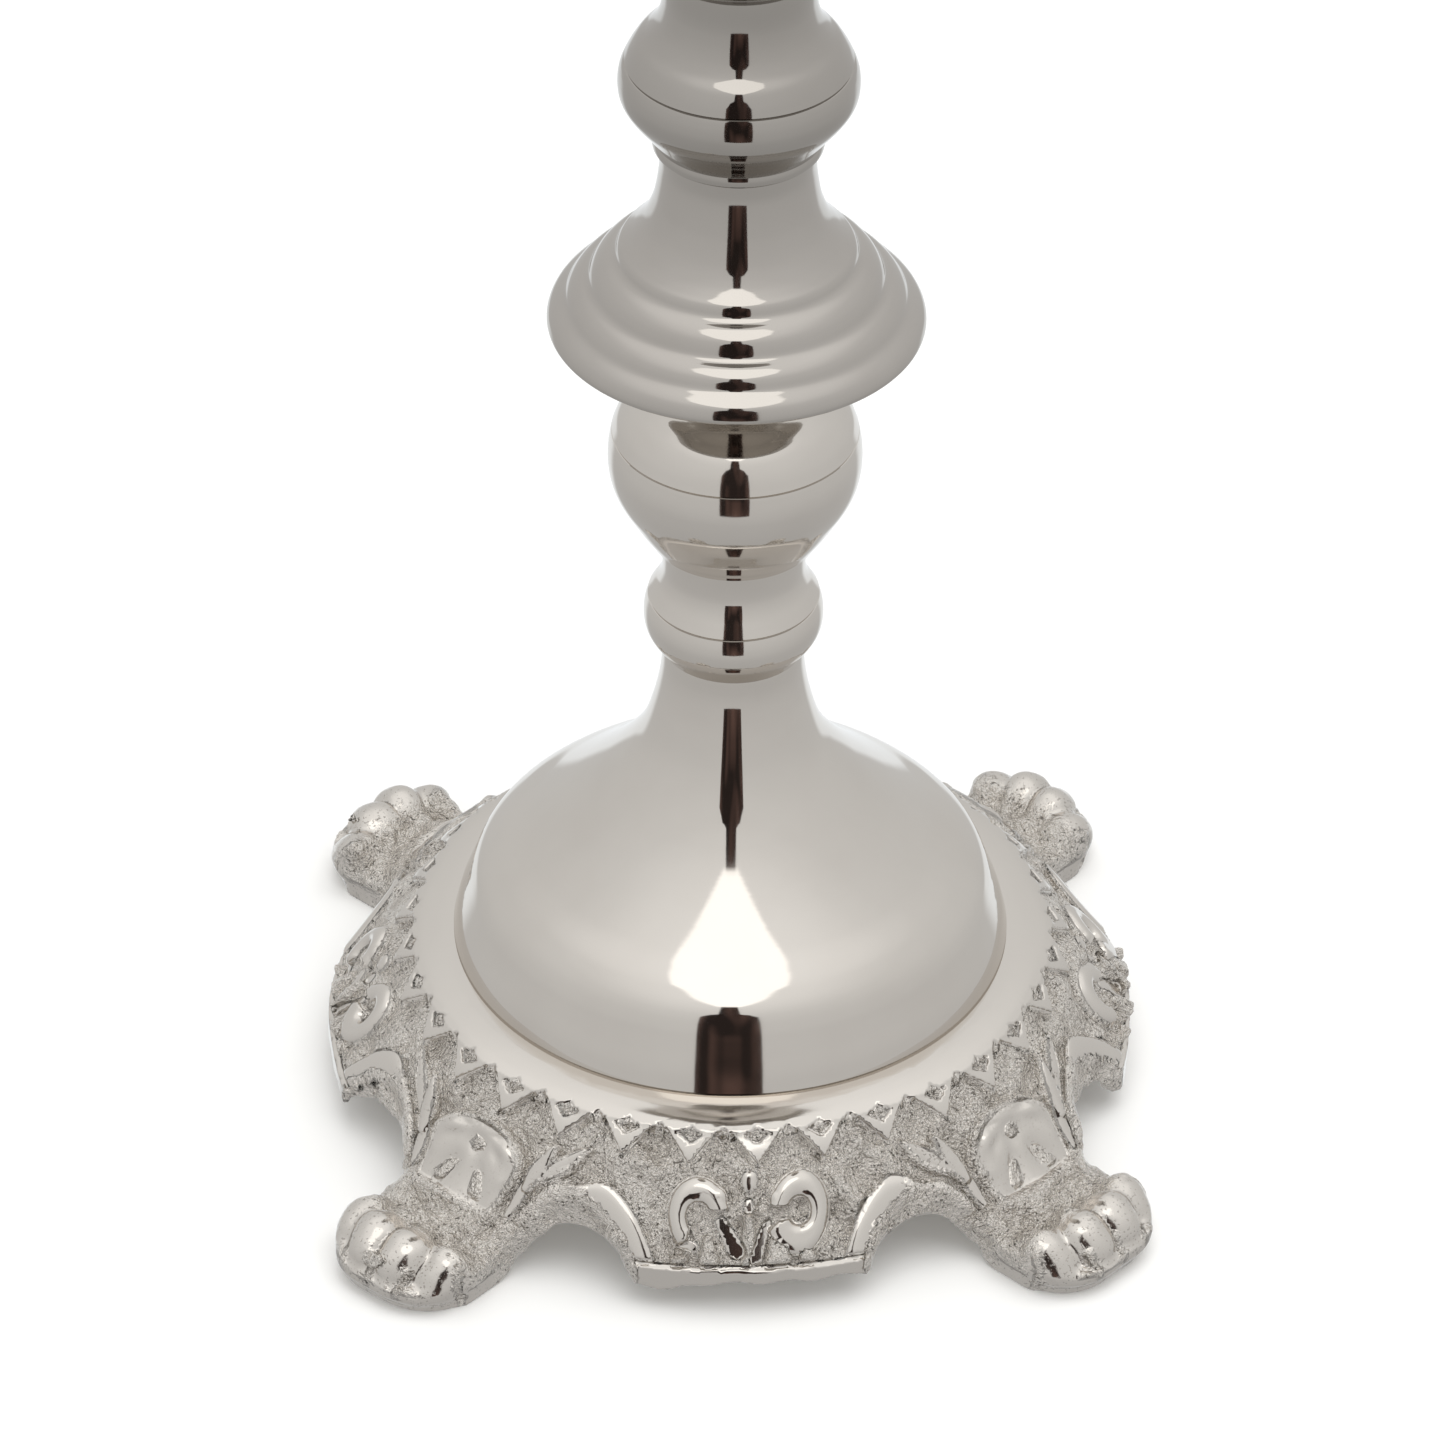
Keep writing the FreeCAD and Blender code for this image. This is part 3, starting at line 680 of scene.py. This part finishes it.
def tooth_relief(turn_deg, run):
    """Where the ring's teeth stand (1) or the notches between them lie (0), how far down the teeth a
    point is, and their punched dimples."""
    pitch = 360.0 / TEETH
    across = np.abs((turn_deg - TOOTH_TURN + pitch / 2) % pitch - pitch / 2) / pitch  # 0 to 0.5
    down = np.clip((run - NOTCH_RUN) / (TIP_RUN + 0.4 - NOTCH_RUN), 0, 1)
    arc = pitch * math.pi / 180 * TOOTH_R
    edge = (0.5 - across - 0.5 * down ** 0.85) * arc * 0.8  # inside the tooth is positive
    edge = edge + np.maximum(NOTCH_RUN + 0.25 - run, 0)
    tooth = step(-0.45, 0.15, edge)
    dent = step(1.1, 0.6, across * arc / 2.3 + np.abs(run - NOTCH_RUN - 1.6) / 1.7)
    return tooth, down, dent


def rounded_plan(u, v, back, front, half, corner):
    """Distance in plan to a box with rounded corners that runs from back to front along a paw."""
    qx = np.abs(u - (front + back) / 2) - (front - back) / 2 + corner
    qy = v - half + corner
    return np.hypot(np.maximum(qx, 0), np.maximum(qy, 0)) + np.minimum(np.maximum(qx, qy), 0) - corner


def paw_gap(u, v, z):
    """Distance to one paw, and how much of its toes is there. u runs along the paw from the axis, v
    is across it, folded about its middle."""
    p = (u, v, z)
    swell = step(0.6, 3.6, z)
    sole = smax(rounded_plan(u, v, 60, PAW_FRONT - 1.5 + 1.4 * swell, PAW_HALF - 0.5 + 0.4 * swell, 9.6),
                np.abs(z - 3.0) - 2.8, 1.7)
    pad = smax(rounded_plan(u, v, 60, PAW_FRONT - 1.7, PAW_HALF - 0.5, 9.4), np.abs(z - 0.9) - 0.9, 0.6)
    toes = 1e3  # far away
    for middle, back, drop, grow in ((2.95, 0.0, 0.0, 1.0), (8.6, 2.3, 1.4, 0.97)):  # inner, outer
        root = (75.6 - 0.4 * back, middle * 0.93, 6.0 - 0.6 * drop)
        knuckle = (80.2 - back, middle, 7.3 - drop)
        tip = (82.2 - back, middle * 0.98, 6.3 - drop)
        toe = smin(bar(p, root, knuckle, 3.0 * grow, TOE_R * grow),
                   bar(p, knuckle, tip, TOE_R * grow, (TOE_R - 0.1) * grow), 2.0)
        toes = smin(toes, toe, 1.0)
    nub = bar(p, (74.6, 11.0, 4.9), (77.8, 11.2, 4.4), 1.5, 1.9)
    toes = smin(toes, nub, 1.2)
    # instep: a block with upright sides and a crowned top that falls towards the toes
    top = 8.5 - 2.4 * (v / PAW_HALF) ** 2 - 0.2 * np.clip(u - 68, -6, 8)
    instep = smax(rounded_plan(u, v, 58, 78, PAW_HALF - 0.05, 2.0), z - top, 1.6)
    paw = smin(sole, pad, 0.4)
    paw = smin(paw, instep, 1.6)
    paw = smin(paw, toes, 0.9)
    toe_zone = step(2.4, 0.6, toes)
    return paw, toe_zone


def base_field(x, y, z):
    """Distance to the casting in millimetres, and how polished its surface is there."""
    wx = x + WARP_ACROSS * WARP_X(x, y, z)
    wy = y + WARP_ACROSS * WARP_Y(x, y, z)
    wz = z + WARP_UP * WARP_Z(x, y, z) * step(0.3, 6.0, z) * step(26.0, 20.0, z)
    r = np.hypot(wx, wy)
    side = (np.arctan2(wy, wx) + QUARTER / 2) % QUARTER - QUARTER / 2  # 0 at a panel's middle
    folded = np.abs(side)  # 45 degrees at a paw
    px, py = r * np.cos(folded), r * np.sin(folded)
    half = math.sqrt(0.5)
    u, v = (px + py) * half, np.abs(py - px) * half  # along and across a paw
    # coordinates on the sloping face: s down it, out from it, w across it, run from the seam
    s = (r - TIP_R) * DOWN[0] + (wz - TIP_Z) * DOWN[1]
    out = (r - TIP_R) * OUT[0] + (wz - TIP_Z) * OUT[1]
    run = np.where(s > 0, TIP_RUN + s, np.where(
        r > RING_R, RING_RUN + np.hypot(r - RING_R, RING_Z - wz), r - SEAM_R))
    outside = out > -WALL * 0.5
    w = r * folded
    on_face = step(-1.0, 0.8, s) * step(SLOPE + 0.3, SLOPE - 0.9, s)
    lift, polish = panel_relief(w, side, s)
    lift = lift * on_face
    polish = polish * on_face
    for (height, shine), zone in ((knee_relief(v, s), step(-0.5, 1.5, s)), (side_leaves(v, s), on_face)):
        lift = np.maximum(lift, height * zone)
        polish = np.maximum(polish, shine * zone)
    # raised rim round each arch, broadest beside the panel
    bx, by = BITE_AT * math.cos(ARCH_TURN), BITE_AT * math.sin(ARCH_TURN)
    bite = np.hypot(px - bx, py - by) - BITE_R
    swelling = 0.55 + 0.45 * step(29.0, 22.0, w)
    rim = ridge(bite - RIM_IN * swelling, RIM_HALF * swelling) * step(2.0, 5.0, s) * step(12.2, 14.0, w)
    off_leg = step(10.4, 11.4, v)
    lift = np.maximum(lift, RIM_LIFT * rim * off_leg * on_face)
    rim_shine = (0.35 + 0.6 * step(29.0, 24.0, w)) * step(0.35, 0.8, rim)
    polish = np.maximum(polish, rim_shine * off_leg * on_face)
    # teeth, the rough notches between them and the punched dimples
    tooth, down, dent = tooth_relief(np.degrees(np.arctan2(y, x)), run)
    on_ring = step(TIP_RUN + 1.6, TIP_RUN - 0.2, run)
    notch = (1 - tooth) * (NOTCH_DEPTH - NOTCH_RISE * down)
    ring_lift = (TOOTH_LIFT * tooth * step(NOTCH_RUN, TIP_RUN, run) - notch
                 - DIMPLE_DEPTH * dent * tooth) * on_ring
    lift = np.where(run < TIP_RUN + 1.6, np.maximum(lift * (1 - on_ring), 0) + ring_lift, lift)
    polish = np.where(run < TIP_RUN + 1.0, tooth * (1 - 0.95 * dent), polish)
    # plain band under each panel
    band = step(SLOPE - 0.6, SLOPE + 0.2, s) * step(-0.6, 0.2, r - (BAND_R - 0.8))
    polish = np.maximum(polish, band * step(PAW_HALF, PAW_HALF + 1.5, v))
    lift = np.where(outside, lift, 0)
    body = turned_gap(r, wz) - lift * LIFT_SHARE
    # arches: set back in plan, and open below
    body = smax(body, -bite, 0.7)
    across = -px * math.sin(ARCH_TURN) + py * math.cos(ARCH_TURN)
    tunnel = (np.sqrt((across / ARCH_HALF) ** 2 + (wz / ARCH_TOP) ** 2) - 1) * ARCH_SCALE
    body = smax(body, np.where(px > 40, -tunnel, -9), 0.8)
    # lower edge of the bands, sagging and wavy
    sag = 1.5 * step(4.0, 14.0, -r * side) + 0.35 * np.sin(r * side * 0.75)
    low = np.maximum(wz - (BAND_LOW - sag), PAW_HALF - v)
    body = smax(body, -low, 0.5)
    paw, toe_zone = paw_gap(u, v, wz)
    ankle = step(PAW_HALF + 0.5, PAW_HALF - 3.0, v) * step(60.0, 64.0, u) * step(76.0, 72.0, u)
    solid = smin(body, paw, 1.6 + 4.0 * ankle)
    heel = (BAND_LOW - HEEL_FALL * np.maximum(u - HEEL_AT, 0) - wz) * 0.77
    solid = smax(solid, np.where((u > 55) & (v < PAW_HALF + 1), heel, -9), 0.6)
    # hollow underneath
    inner = np.maximum(r - (BAND_R - WALL), wz - (BAND_TOP - WALL / 2))
    solid = smax(solid, -inner, 0.5)
    solid = np.maximum(solid, -z)
    # paws: polished toes and sole, rough crease, ankle and seams between the toes
    near_paw = step(1.2, -0.2, paw) * step(66.0, 73.0, u)
    low_part = step(5.4, 4.4, wz + 1.2 * (v / PAW_HALF) ** 2 * step(80.0, 76.0, u))
    crease = step(78.5, 75.0, u) * step(4.4, 5.8, wz + 1.6 * (v / PAW_HALF) ** 2)
    seams = np.maximum(np.exp(-(v / 0.55) ** 2), np.exp(-((v - TOE_PITCH) / 0.55) ** 2))
    seams = seams * step(80.0, 82.0, u) * step(3.2, 4.4, wz) * step(9.0, 7.5, wz)
    paw_polish = np.clip(np.maximum(low_part, toe_zone * (1 - crease)), 0, 1)
    paw_polish = PAW_SHINE * paw_polish * (1 - 0.9 * seams)
    polish = polish * (1 - near_paw) + paw_polish * near_paw
    arch_edge = step(0.9, 0.3, bite) * step(-0.8, 0.0, bite)
    polish = np.where(arch_edge > 0.5, np.minimum(polish, 0.3), polish)
    polish = np.clip(polish, 0, 1)
    under = (r < BAND_R - WALL + 0.3) & (wz < TIP_Z) & ~outside
    polish = np.where(under, 0.15, polish)
    # grain and lumps of the sand mould where the skin isn't polished away
    rough = 1 - polish
    lumps = LUMPS(x, y, z)
    grain = GRAIN_DEPTH * GRAIN(x, y, z) + FINE_DEPTH * GRAIN_FINE(x, y, z)
    wrinkle = WRINKLE_DEPTH * np.sin(u * 2.3 + 1.3 * lumps) * step(1.0, 0.0, np.abs(u - 74.0) / 5.0)
    texture = rough ** 2 * (grain + LUMP_DEPTH * lumps) + near_paw * rough ** 2 * wrinkle
    quiet = step(0.4, 1.6, z) * np.where(under, 0.35, 1.0) * step(SEAM_R + 0.4, SEAM_R + 1.4, r)
    return solid - texture * quiet, polish


def surface_nets(field, origin, pitch):
    """A quad mesh of the zero surface of a sampled field, one vertex in each crossed cell."""
    inside = field < 0
    corners = [(i, j, k) for i in (0, 1) for j in (0, 1) for k in (0, 1)]
    nx, ny, nz = (n - 1 for n in field.shape)
    count = sum(inside[i:i + nx, j:j + ny, k:k + nz].astype(np.int8) for i, j, k in corners)
    crossed = (count > 0) & (count < 8)
    cells = np.argwhere(crossed)
    index = np.full(crossed.shape, -1, np.int64)
    index[crossed] = np.arange(len(cells))
    total = np.zeros((len(cells), 3))
    hits = np.zeros(len(cells))
    edges = [(a, b) for a in corners for b in corners
             if sum(b) - sum(a) == 1 and all(q >= p for p, q in zip(a, b))]
    for a, b in edges:
        fa = field[tuple((cells + a).T)]
        fb = field[tuple((cells + b).T)]
        cut = (fa < 0) != (fb < 0)
        t = np.where(cut, fa / np.where(cut, fa - fb, 1), 0)
        point = np.array(a) + t[:, None] * (np.array(b) - np.array(a))
        total += point * cut[:, None]
        hits += cut
    verts = (cells + total / hits[:, None]) * pitch + origin
    quads = []
    for axis in range(3):
        low, high = [slice(1, -1)] * 3, [slice(1, -1)] * 3
        low[axis], high[axis] = slice(0, -1), slice(1, None)
        first, second = inside[tuple(low)], inside[tuple(high)]
        others = [n for n in range(3) if n != axis]
        for flip, where in ((False, first & ~second), (True, second & ~first)):
            base = np.argwhere(where)
            for n in others:
                base[:, n] += 1
            ring = []
            for du, dv in ((-1, -1), (0, -1), (0, 0), (-1, 0)):
                cell = base.copy()
                cell[:, others[0]] += du
                cell[:, others[1]] += dv
                ring.append(index[tuple(cell.T)])
            if (axis == 1) != flip:
                ring = ring[::-1]
            quads.append(np.stack(ring, axis=1))
    return verts, np.vstack(quads)


def sample_field(points, chunk=400_000):
    """Distance and polish at many points, in pieces that fit in memory."""
    gaps, shines = [], []
    for i in range(0, len(points), chunk):
        x, y, z = points[i:i + chunk].astype(np.float32).T
        gap, shine = base_field(x, y, z)
        gaps.append(gap)
        shines.append(shine)
    return np.concatenate(gaps), np.concatenate(shines)


def gradient(points, reach):
    """Unit outward direction of the field at points, and how steep it is there."""
    columns = []
    for axis in range(3):
        shift = np.zeros(3)
        shift[axis] = reach
        ahead, _ = sample_field(points + shift)
        behind, _ = sample_field(points - shift)
        columns.append(ahead - behind)
    slope = np.stack(columns, axis=1)
    length = np.linalg.norm(slope, axis=1)
    return slope / np.maximum(length, 1e-9)[:, None], length / (2 * reach)


FIELD_REACH, FIELD_TOP = 69.5, 31.0  # the sampled space round the casting
FIELD_PITCH = 0.5
FAR = 9.0  # distance given to cells away from the surface
MOST_TRIANGLES = 196_000
SETTLE_REACH, NORMAL_REACH = 0.08, 0.06  # how far out the slopes are measured


def base_casting(material):
    """The whole casting as one closed mesh, finest where its surface is busiest."""
    pitch, reach = FIELD_PITCH, FIELD_REACH
    origin = np.array([-reach, -reach, -1.4 * pitch])
    shape = (int(2 * reach / pitch) + 2, int(2 * reach / pitch) + 2, int(FIELD_TOP / pitch) + 3)
    axes = [origin[i] + np.arange(shape[i]) * pitch for i in range(3)]
    # only cells near the surface are worked out
    field = np.full(shape, FAR, np.float32)
    X, Y = np.meshgrid(axes[0], axes[1], indexing="ij")
    radius = np.hypot(X, Y)
    folded = np.abs((np.arctan2(Y, X) + QUARTER / 2) % QUARTER - QUARTER / 2)
    by_paw = np.abs(radius * np.sin(QUARTER / 2 - folded)) < PAW_HALF + 3
    most = np.where(by_paw, PAW_FRONT + 3, BAND_R + 3)
    for k, zk in enumerate(axes[2]):
        face_r = np.interp(zk, [BAND_TOP, TIP_Z, RING_Z, 28.6], [PANEL_R, TIP_R, RING_R, SEAM_R])
        outer = np.where(by_paw, np.maximum(face_r + 5, PAW_FRONT + 3 if zk < 18 else 0), face_r + 4)
        inner = FLANGE_BORE_R - 2 if zk > FLANGE_LOW - 2 else min(face_r, BAND_R) - WALL - 5
        near = (radius < np.minimum(outer, most)) & (radius > inner)
        points = np.stack([X[near], Y[near], np.full(near.sum(), zk)], axis=1)
        if len(points):
            field[:, :, k][near] = sample_field(points)[0]
    verts, quads = surface_nets(field, origin, pitch)
    mesh = bpy.data.meshes.new("base_casting_visual")
    mesh.from_pydata((verts * MM).tolist(), [], quads.tolist())
    piece = put("base_casting_visual", mesh)
    thin_out(piece, MOST_TRIANGLES)
    settle(piece.data)
    piece.data.materials.append(material)
    return piece


def thin_out(piece, limit):
    """Collapses edges until the piece has at most limit triangles, least where it is flat."""
    triangles = sum(len(face.vertices) - 2 for face in piece.data.polygons)
    if triangles <= limit:
        return
    thin = piece.modifiers.new("thin", "DECIMATE")
    thin.ratio = limit / triangles
    view = bpy.context.evaluated_depsgraph_get()
    view.update()
    slim = bpy.data.meshes.new_from_object(piece.evaluated_get(view))
    piece.modifiers.clear()
    old = piece.data
    piece.data = slim
    bpy.data.meshes.remove(old)
    slim.name = piece.name


def settle(mesh):
    """Moves each vertex onto the field's surface and takes its normal and polish from the field."""
    count = len(mesh.vertices)
    flat = np.empty(count * 3)
    mesh.vertices.foreach_get("co", flat)
    points = flat.reshape(-1, 3) / MM
    for _ in range(2):
        direction, slope = gradient(points, SETTLE_REACH)
        gap, _ = sample_field(points)
        move = np.clip(gap / np.maximum(slope, 0.5), -0.35, 0.35)
        points = points - direction * move[:, None]
    points[:, 2] = np.maximum(points[:, 2], 0.0)
    low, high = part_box("base_casting")
    points[:, :2] = np.clip(points[:, :2], np.array(low[:2]) / MM, np.array(high[:2]) / MM)
    direction, _ = gradient(points, NORMAL_REACH)
    _, polish = sample_field(points)
    mesh.vertices.foreach_set("co", (points * MM).ravel())
    mesh.update()
    mesh.shade_smooth()
    mesh.attributes.new("polish", "FLOAT", "POINT").data.foreach_set("value", polish.astype(np.float32))
    mesh.normals_split_custom_set_from_vertices(direction.tolist())


# ======== Stage: floor, light and camera
FLOOR_WHITE, FLOOR_HALF = (0.93, 0.93, 0.92), 4.0


def floor_paper():
    """Matt pale paper, faintly uneven."""
    material, n = new_material("floor_paper")
    brighter = tuple(min(1.0, c * 1.02) for c in FLOOR_WHITE)
    n.surface("Base Color", n.mix_colour(n.noise(40.0, 4.0), FLOOR_WHITE, brighter))
    n.surface("Roughness", 0.6)
    return material


CAMERA_TURN = math.radians(-3.3)  # the base is turned this much from square to the camera
CAMERA_DISTANCE = 20.44  # in seam radii, level distance from the axis
CAMERA_HEIGHT = 16.18  # in seam radii, above the seam
CAMERA_PITCH = math.radians(36.8)
CAMERA_YAW = -0.0017
CAMERA_ROLL = 0.0095
FOCAL_PIXELS = 7200.0
FRAME_PIXELS = 1445.0


def add_camera():
    data = bpy.data.cameras.new("camera")
    data.sensor_width = 36.0
    data.lens = FOCAL_PIXELS / FRAME_PIXELS * data.sensor_width
    data.clip_start, data.clip_end = 0.05, 20.0
    camera = put("camera", data)
    p, yaw = CAMERA_PITCH, CAMERA_YAW
    forward = Vector((math.sin(yaw) * math.cos(p), math.cos(yaw) * math.cos(p), -math.sin(p)))
    right = Vector((math.cos(yaw), -math.sin(yaw), 0))
    up = right.cross(forward)
    c, s = math.cos(CAMERA_ROLL), math.sin(CAMERA_ROLL)
    side = right * c + up * s
    top = up * c - right * s
    turn = Matrix.Rotation(CAMERA_TURN, 4, "Z")
    basis = Matrix((side, top, -forward)).transposed().to_4x4()
    place = Matrix.Translation(Vector((0, -CAMERA_DISTANCE * SEAM_R, CAMERA_HEIGHT * SEAM_R + SEAM_Z)) * MM)
    camera.matrix_world = turn @ place @ basis
    bpy.context.scene.camera = camera


TENT = (  # sine of elevation, brightness of the tent in that direction
    (-1.0, 0.50), (-0.60, 0.56), (-0.40, 0.63), (-0.10, 0.68), (0.10, 0.71), (0.35, 0.74),
    (0.60, 0.80), (0.70, 0.87), (0.80, 0.98), (0.90, 1.06), (1.0, 1.10),
)
COOL_WHITE = (0.93, 0.955, 0.97)


def add_world():
    """A soft white tent: brighter overhead, greyer below, and cool and bright low behind the
    object."""
    world = bpy.data.worlds.new("tent")
    bpy.context.scene.world = world
    world.use_nodes = True
    n = Nodes(world.node_tree)
    turn = n.add("ShaderNodeVectorRotate", rotation_type="Z_AXIS")
    n.feed(turn, "Angle", -CAMERA_TURN)
    n.feed(turn, "Vector", n.add("ShaderNodeTexCoord").outputs["Generated"])
    split = n.add("ShaderNodeSeparateXYZ")
    n.feed(split, 0, turn.outputs["Vector"])
    ramp = n.add("ShaderNodeValToRGB")
    n.feed(ramp, "Fac", n.ramp(split.outputs["Z"], 0.0, 1.0, (-1.0, 1.0)))
    stops = ramp.color_ramp.elements
    for _ in TENT[1:-1]:
        stops.new(0.5)
    for stop, (sine, level) in zip(stops, TENT):
        stop.position = (sine + 1) / 2
        stop.color = (level, level * 0.995, level * 0.985, 1)
    behind = n.times(n.ramp(split.outputs["Y"], 0.0, 1.0, (0.62, 0.74), "SMOOTHSTEP"),
                     n.ramp(split.outputs["Z"], 0.0, 1.0, (-0.26, -0.34), "SMOOTHSTEP"))
    shade = n.add("ShaderNodeBackground")
    n.feed(shade, "Color", n.mix_colour(behind, ramp.outputs["Color"], COOL_WHITE))
    n.feed(n.add("ShaderNodeOutputWorld"), "Surface", shade.outputs["Background"])


def emission(name, colour, strength, other=None, edge=0.0):
    """Glow in one colour, or mottled with another. edge is the share of a card over which it fades
    out."""
    material, n = new_material(name)
    glow = n.add("ShaderNodeEmission")
    n.feed(glow, "Color", colour)
    n.feed(glow, "Strength", strength)
    if other is not None:
        mottle = n.ramp(n.noise(3.0, 1.0, 0.4, (2.0, 0.0, 0.25)), 0.0, 1.0, (0.42, 0.72))
        n.feed(glow, "Color", n.mix_colour(mottle, colour, other))
    if edge == 0:
        n.feed(n.output, "Surface", glow.outputs["Emission"])
        return material
    inward = n.add("ShaderNodeAttribute", attribute_name="inward").outputs["Fac"]
    blend = n.add("ShaderNodeMixShader")
    n.feed(blend, 0, n.ramp(inward, 0.0, 1.0, (0.0, edge)))
    n.feed(blend, 1, n.add("ShaderNodeBsdfTransparent").outputs[0])
    n.feed(blend, 2, glow.outputs["Emission"])
    n.feed(n.output, "Surface", blend.outputs[0])
    return material


def direction_card(name, outline, distance, material):
    """A card facing the object, seen only in its reflections. outline gives the corners of its right
    half as the degrees across from the camera's side and up from level at which the object sees
    them."""
    aim = Vector((0, 0, CARD_AIM))
    corners = []
    for across, up in outline + [(-across, up) for across, up in reversed(outline)]:
        turn = math.radians(across) + CAMERA_TURN
        rise = math.radians(up)
        away = Vector((math.sin(turn) * math.cos(rise), -math.cos(turn) * math.cos(rise), math.sin(rise)))
        corners.append(aim + away * distance)
    centre = sum(corners, Vector()) / len(corners)
    mesh = bpy.data.meshes.new(name)
    fan = [(i, (i + 1) % len(corners), len(corners)) for i in range(len(corners))]
    mesh.from_pydata([tuple(c) for c in corners] + [tuple(centre)], [], fan)
    inward = mesh.attributes.new("inward", "FLOAT", "POINT")
    inward.data[len(corners)].value = 1.0
    mesh.materials.append(material)
    card = put(name, mesh)
    card.visible_camera = card.visible_diffuse = card.visible_shadow = False


# right halves of the cards' outlines, lowest corner first: the opening in the tent that the camera
# looks through, and a bright window above it
GAP_OUTLINE = [(12.5, -24), (12.5, 29), (9, 35), (5, 37), (4, 49)]
WINDOW_OUTLINE = [(6, 46.5), (20, 51), (37, 56), (46, 62), (48, 73)]
GAP_DARK, GAP_MOTTLE = (0.026, 0.019, 0.017), (0.150, 0.090, 0.075)
WINDOW_WHITE, WINDOW_STRENGTH = (1.0, 0.99, 0.97), 1.6
CARD_AIM = 0.11  # height in metres that the cards face
GAP_DISTANCE, WINDOW_DISTANCE = 1.4, 1.3
LAMP_PLACE, LAMP_SIZE, LAMP_WATTS = (0.3, -0.3, 1.6), 1.6, 14.0


def add_stage():
    mesh = bpy.data.meshes.new("floor")
    signs = ((-1, -1), (1, -1), (1, 1), (-1, 1))
    mesh.from_pydata([(FLOOR_HALF * x, FLOOR_HALF * y, 0) for x, y in signs], [], [(0, 1, 2, 3)])
    mesh.materials.append(floor_paper())
    floor = put("floor", mesh)
    floor.visible_glossy = False
    dark = emission("camera_gap", GAP_DARK, 1.0, other=GAP_MOTTLE)
    direction_card("camera_gap_card", GAP_OUTLINE, GAP_DISTANCE, dark)
    soft = emission("soft_window", WINDOW_WHITE, WINDOW_STRENGTH, edge=0.09)
    direction_card("soft_window_card", WINDOW_OUTLINE, WINDOW_DISTANCE, soft)
    lamp = bpy.data.lights.new("overhead", "AREA")
    lamp.shape, lamp.size, lamp.energy = "SQUARE", LAMP_SIZE, LAMP_WATTS
    light = put("overhead", lamp)
    light.location = LAMP_PLACE
    light.visible_glossy = False


# ======== Assembly
PAINTED_SHADE_UP_STEM = {  # painted shade: how much darker the upper pieces' colour is set than the foot's, standing in for their dimmer reflections
    "bell_skirt": 0.74, "upper_knop": 0.66, "collar_ring": 0.68, "socket_vase": 0.72, "drip_nozzle": 0.76,
}


def main():
    # the upper pieces' materials carry the painted shade from the table above
    polished = {node: polished_nickel("polished_nickel_" + node, shade) for node, shade in PAINTED_SHADE_UP_STEM.items()}
    bright = polished_nickel("polished_nickel")
    cast = cast_nickel()
    zinc = zinc_steel()
    add_camera()
    add_world()
    add_stage()
    turned = {
        "dome_foot": dome_foot, "ring_knop": ring_knop, "bulb_knop": bulb_knop, "bell_skirt": bell_skirt,
        "upper_knop": upper_knop, "collar_ring": collar_ring, "socket_vase": socket_vase,
        "drip_nozzle": drip_nozzle,
    }
    for node, make in turned.items():
        piece = make(polished.get(node, bright))
        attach(piece, "nozzle" if node == "drip_nozzle" else "stand")
        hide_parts(node)
    casting = base_casting(cast)
    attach(casting, "stand")
    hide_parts("base_casting")
    for node in ("tie_rod", "clamp_plate", "spring_washer", "hex_nut"):
        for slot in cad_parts[node].material_slots:
            slot.material = zinc
    bpy.context.scene.view_settings.view_transform = "Standard"


main()
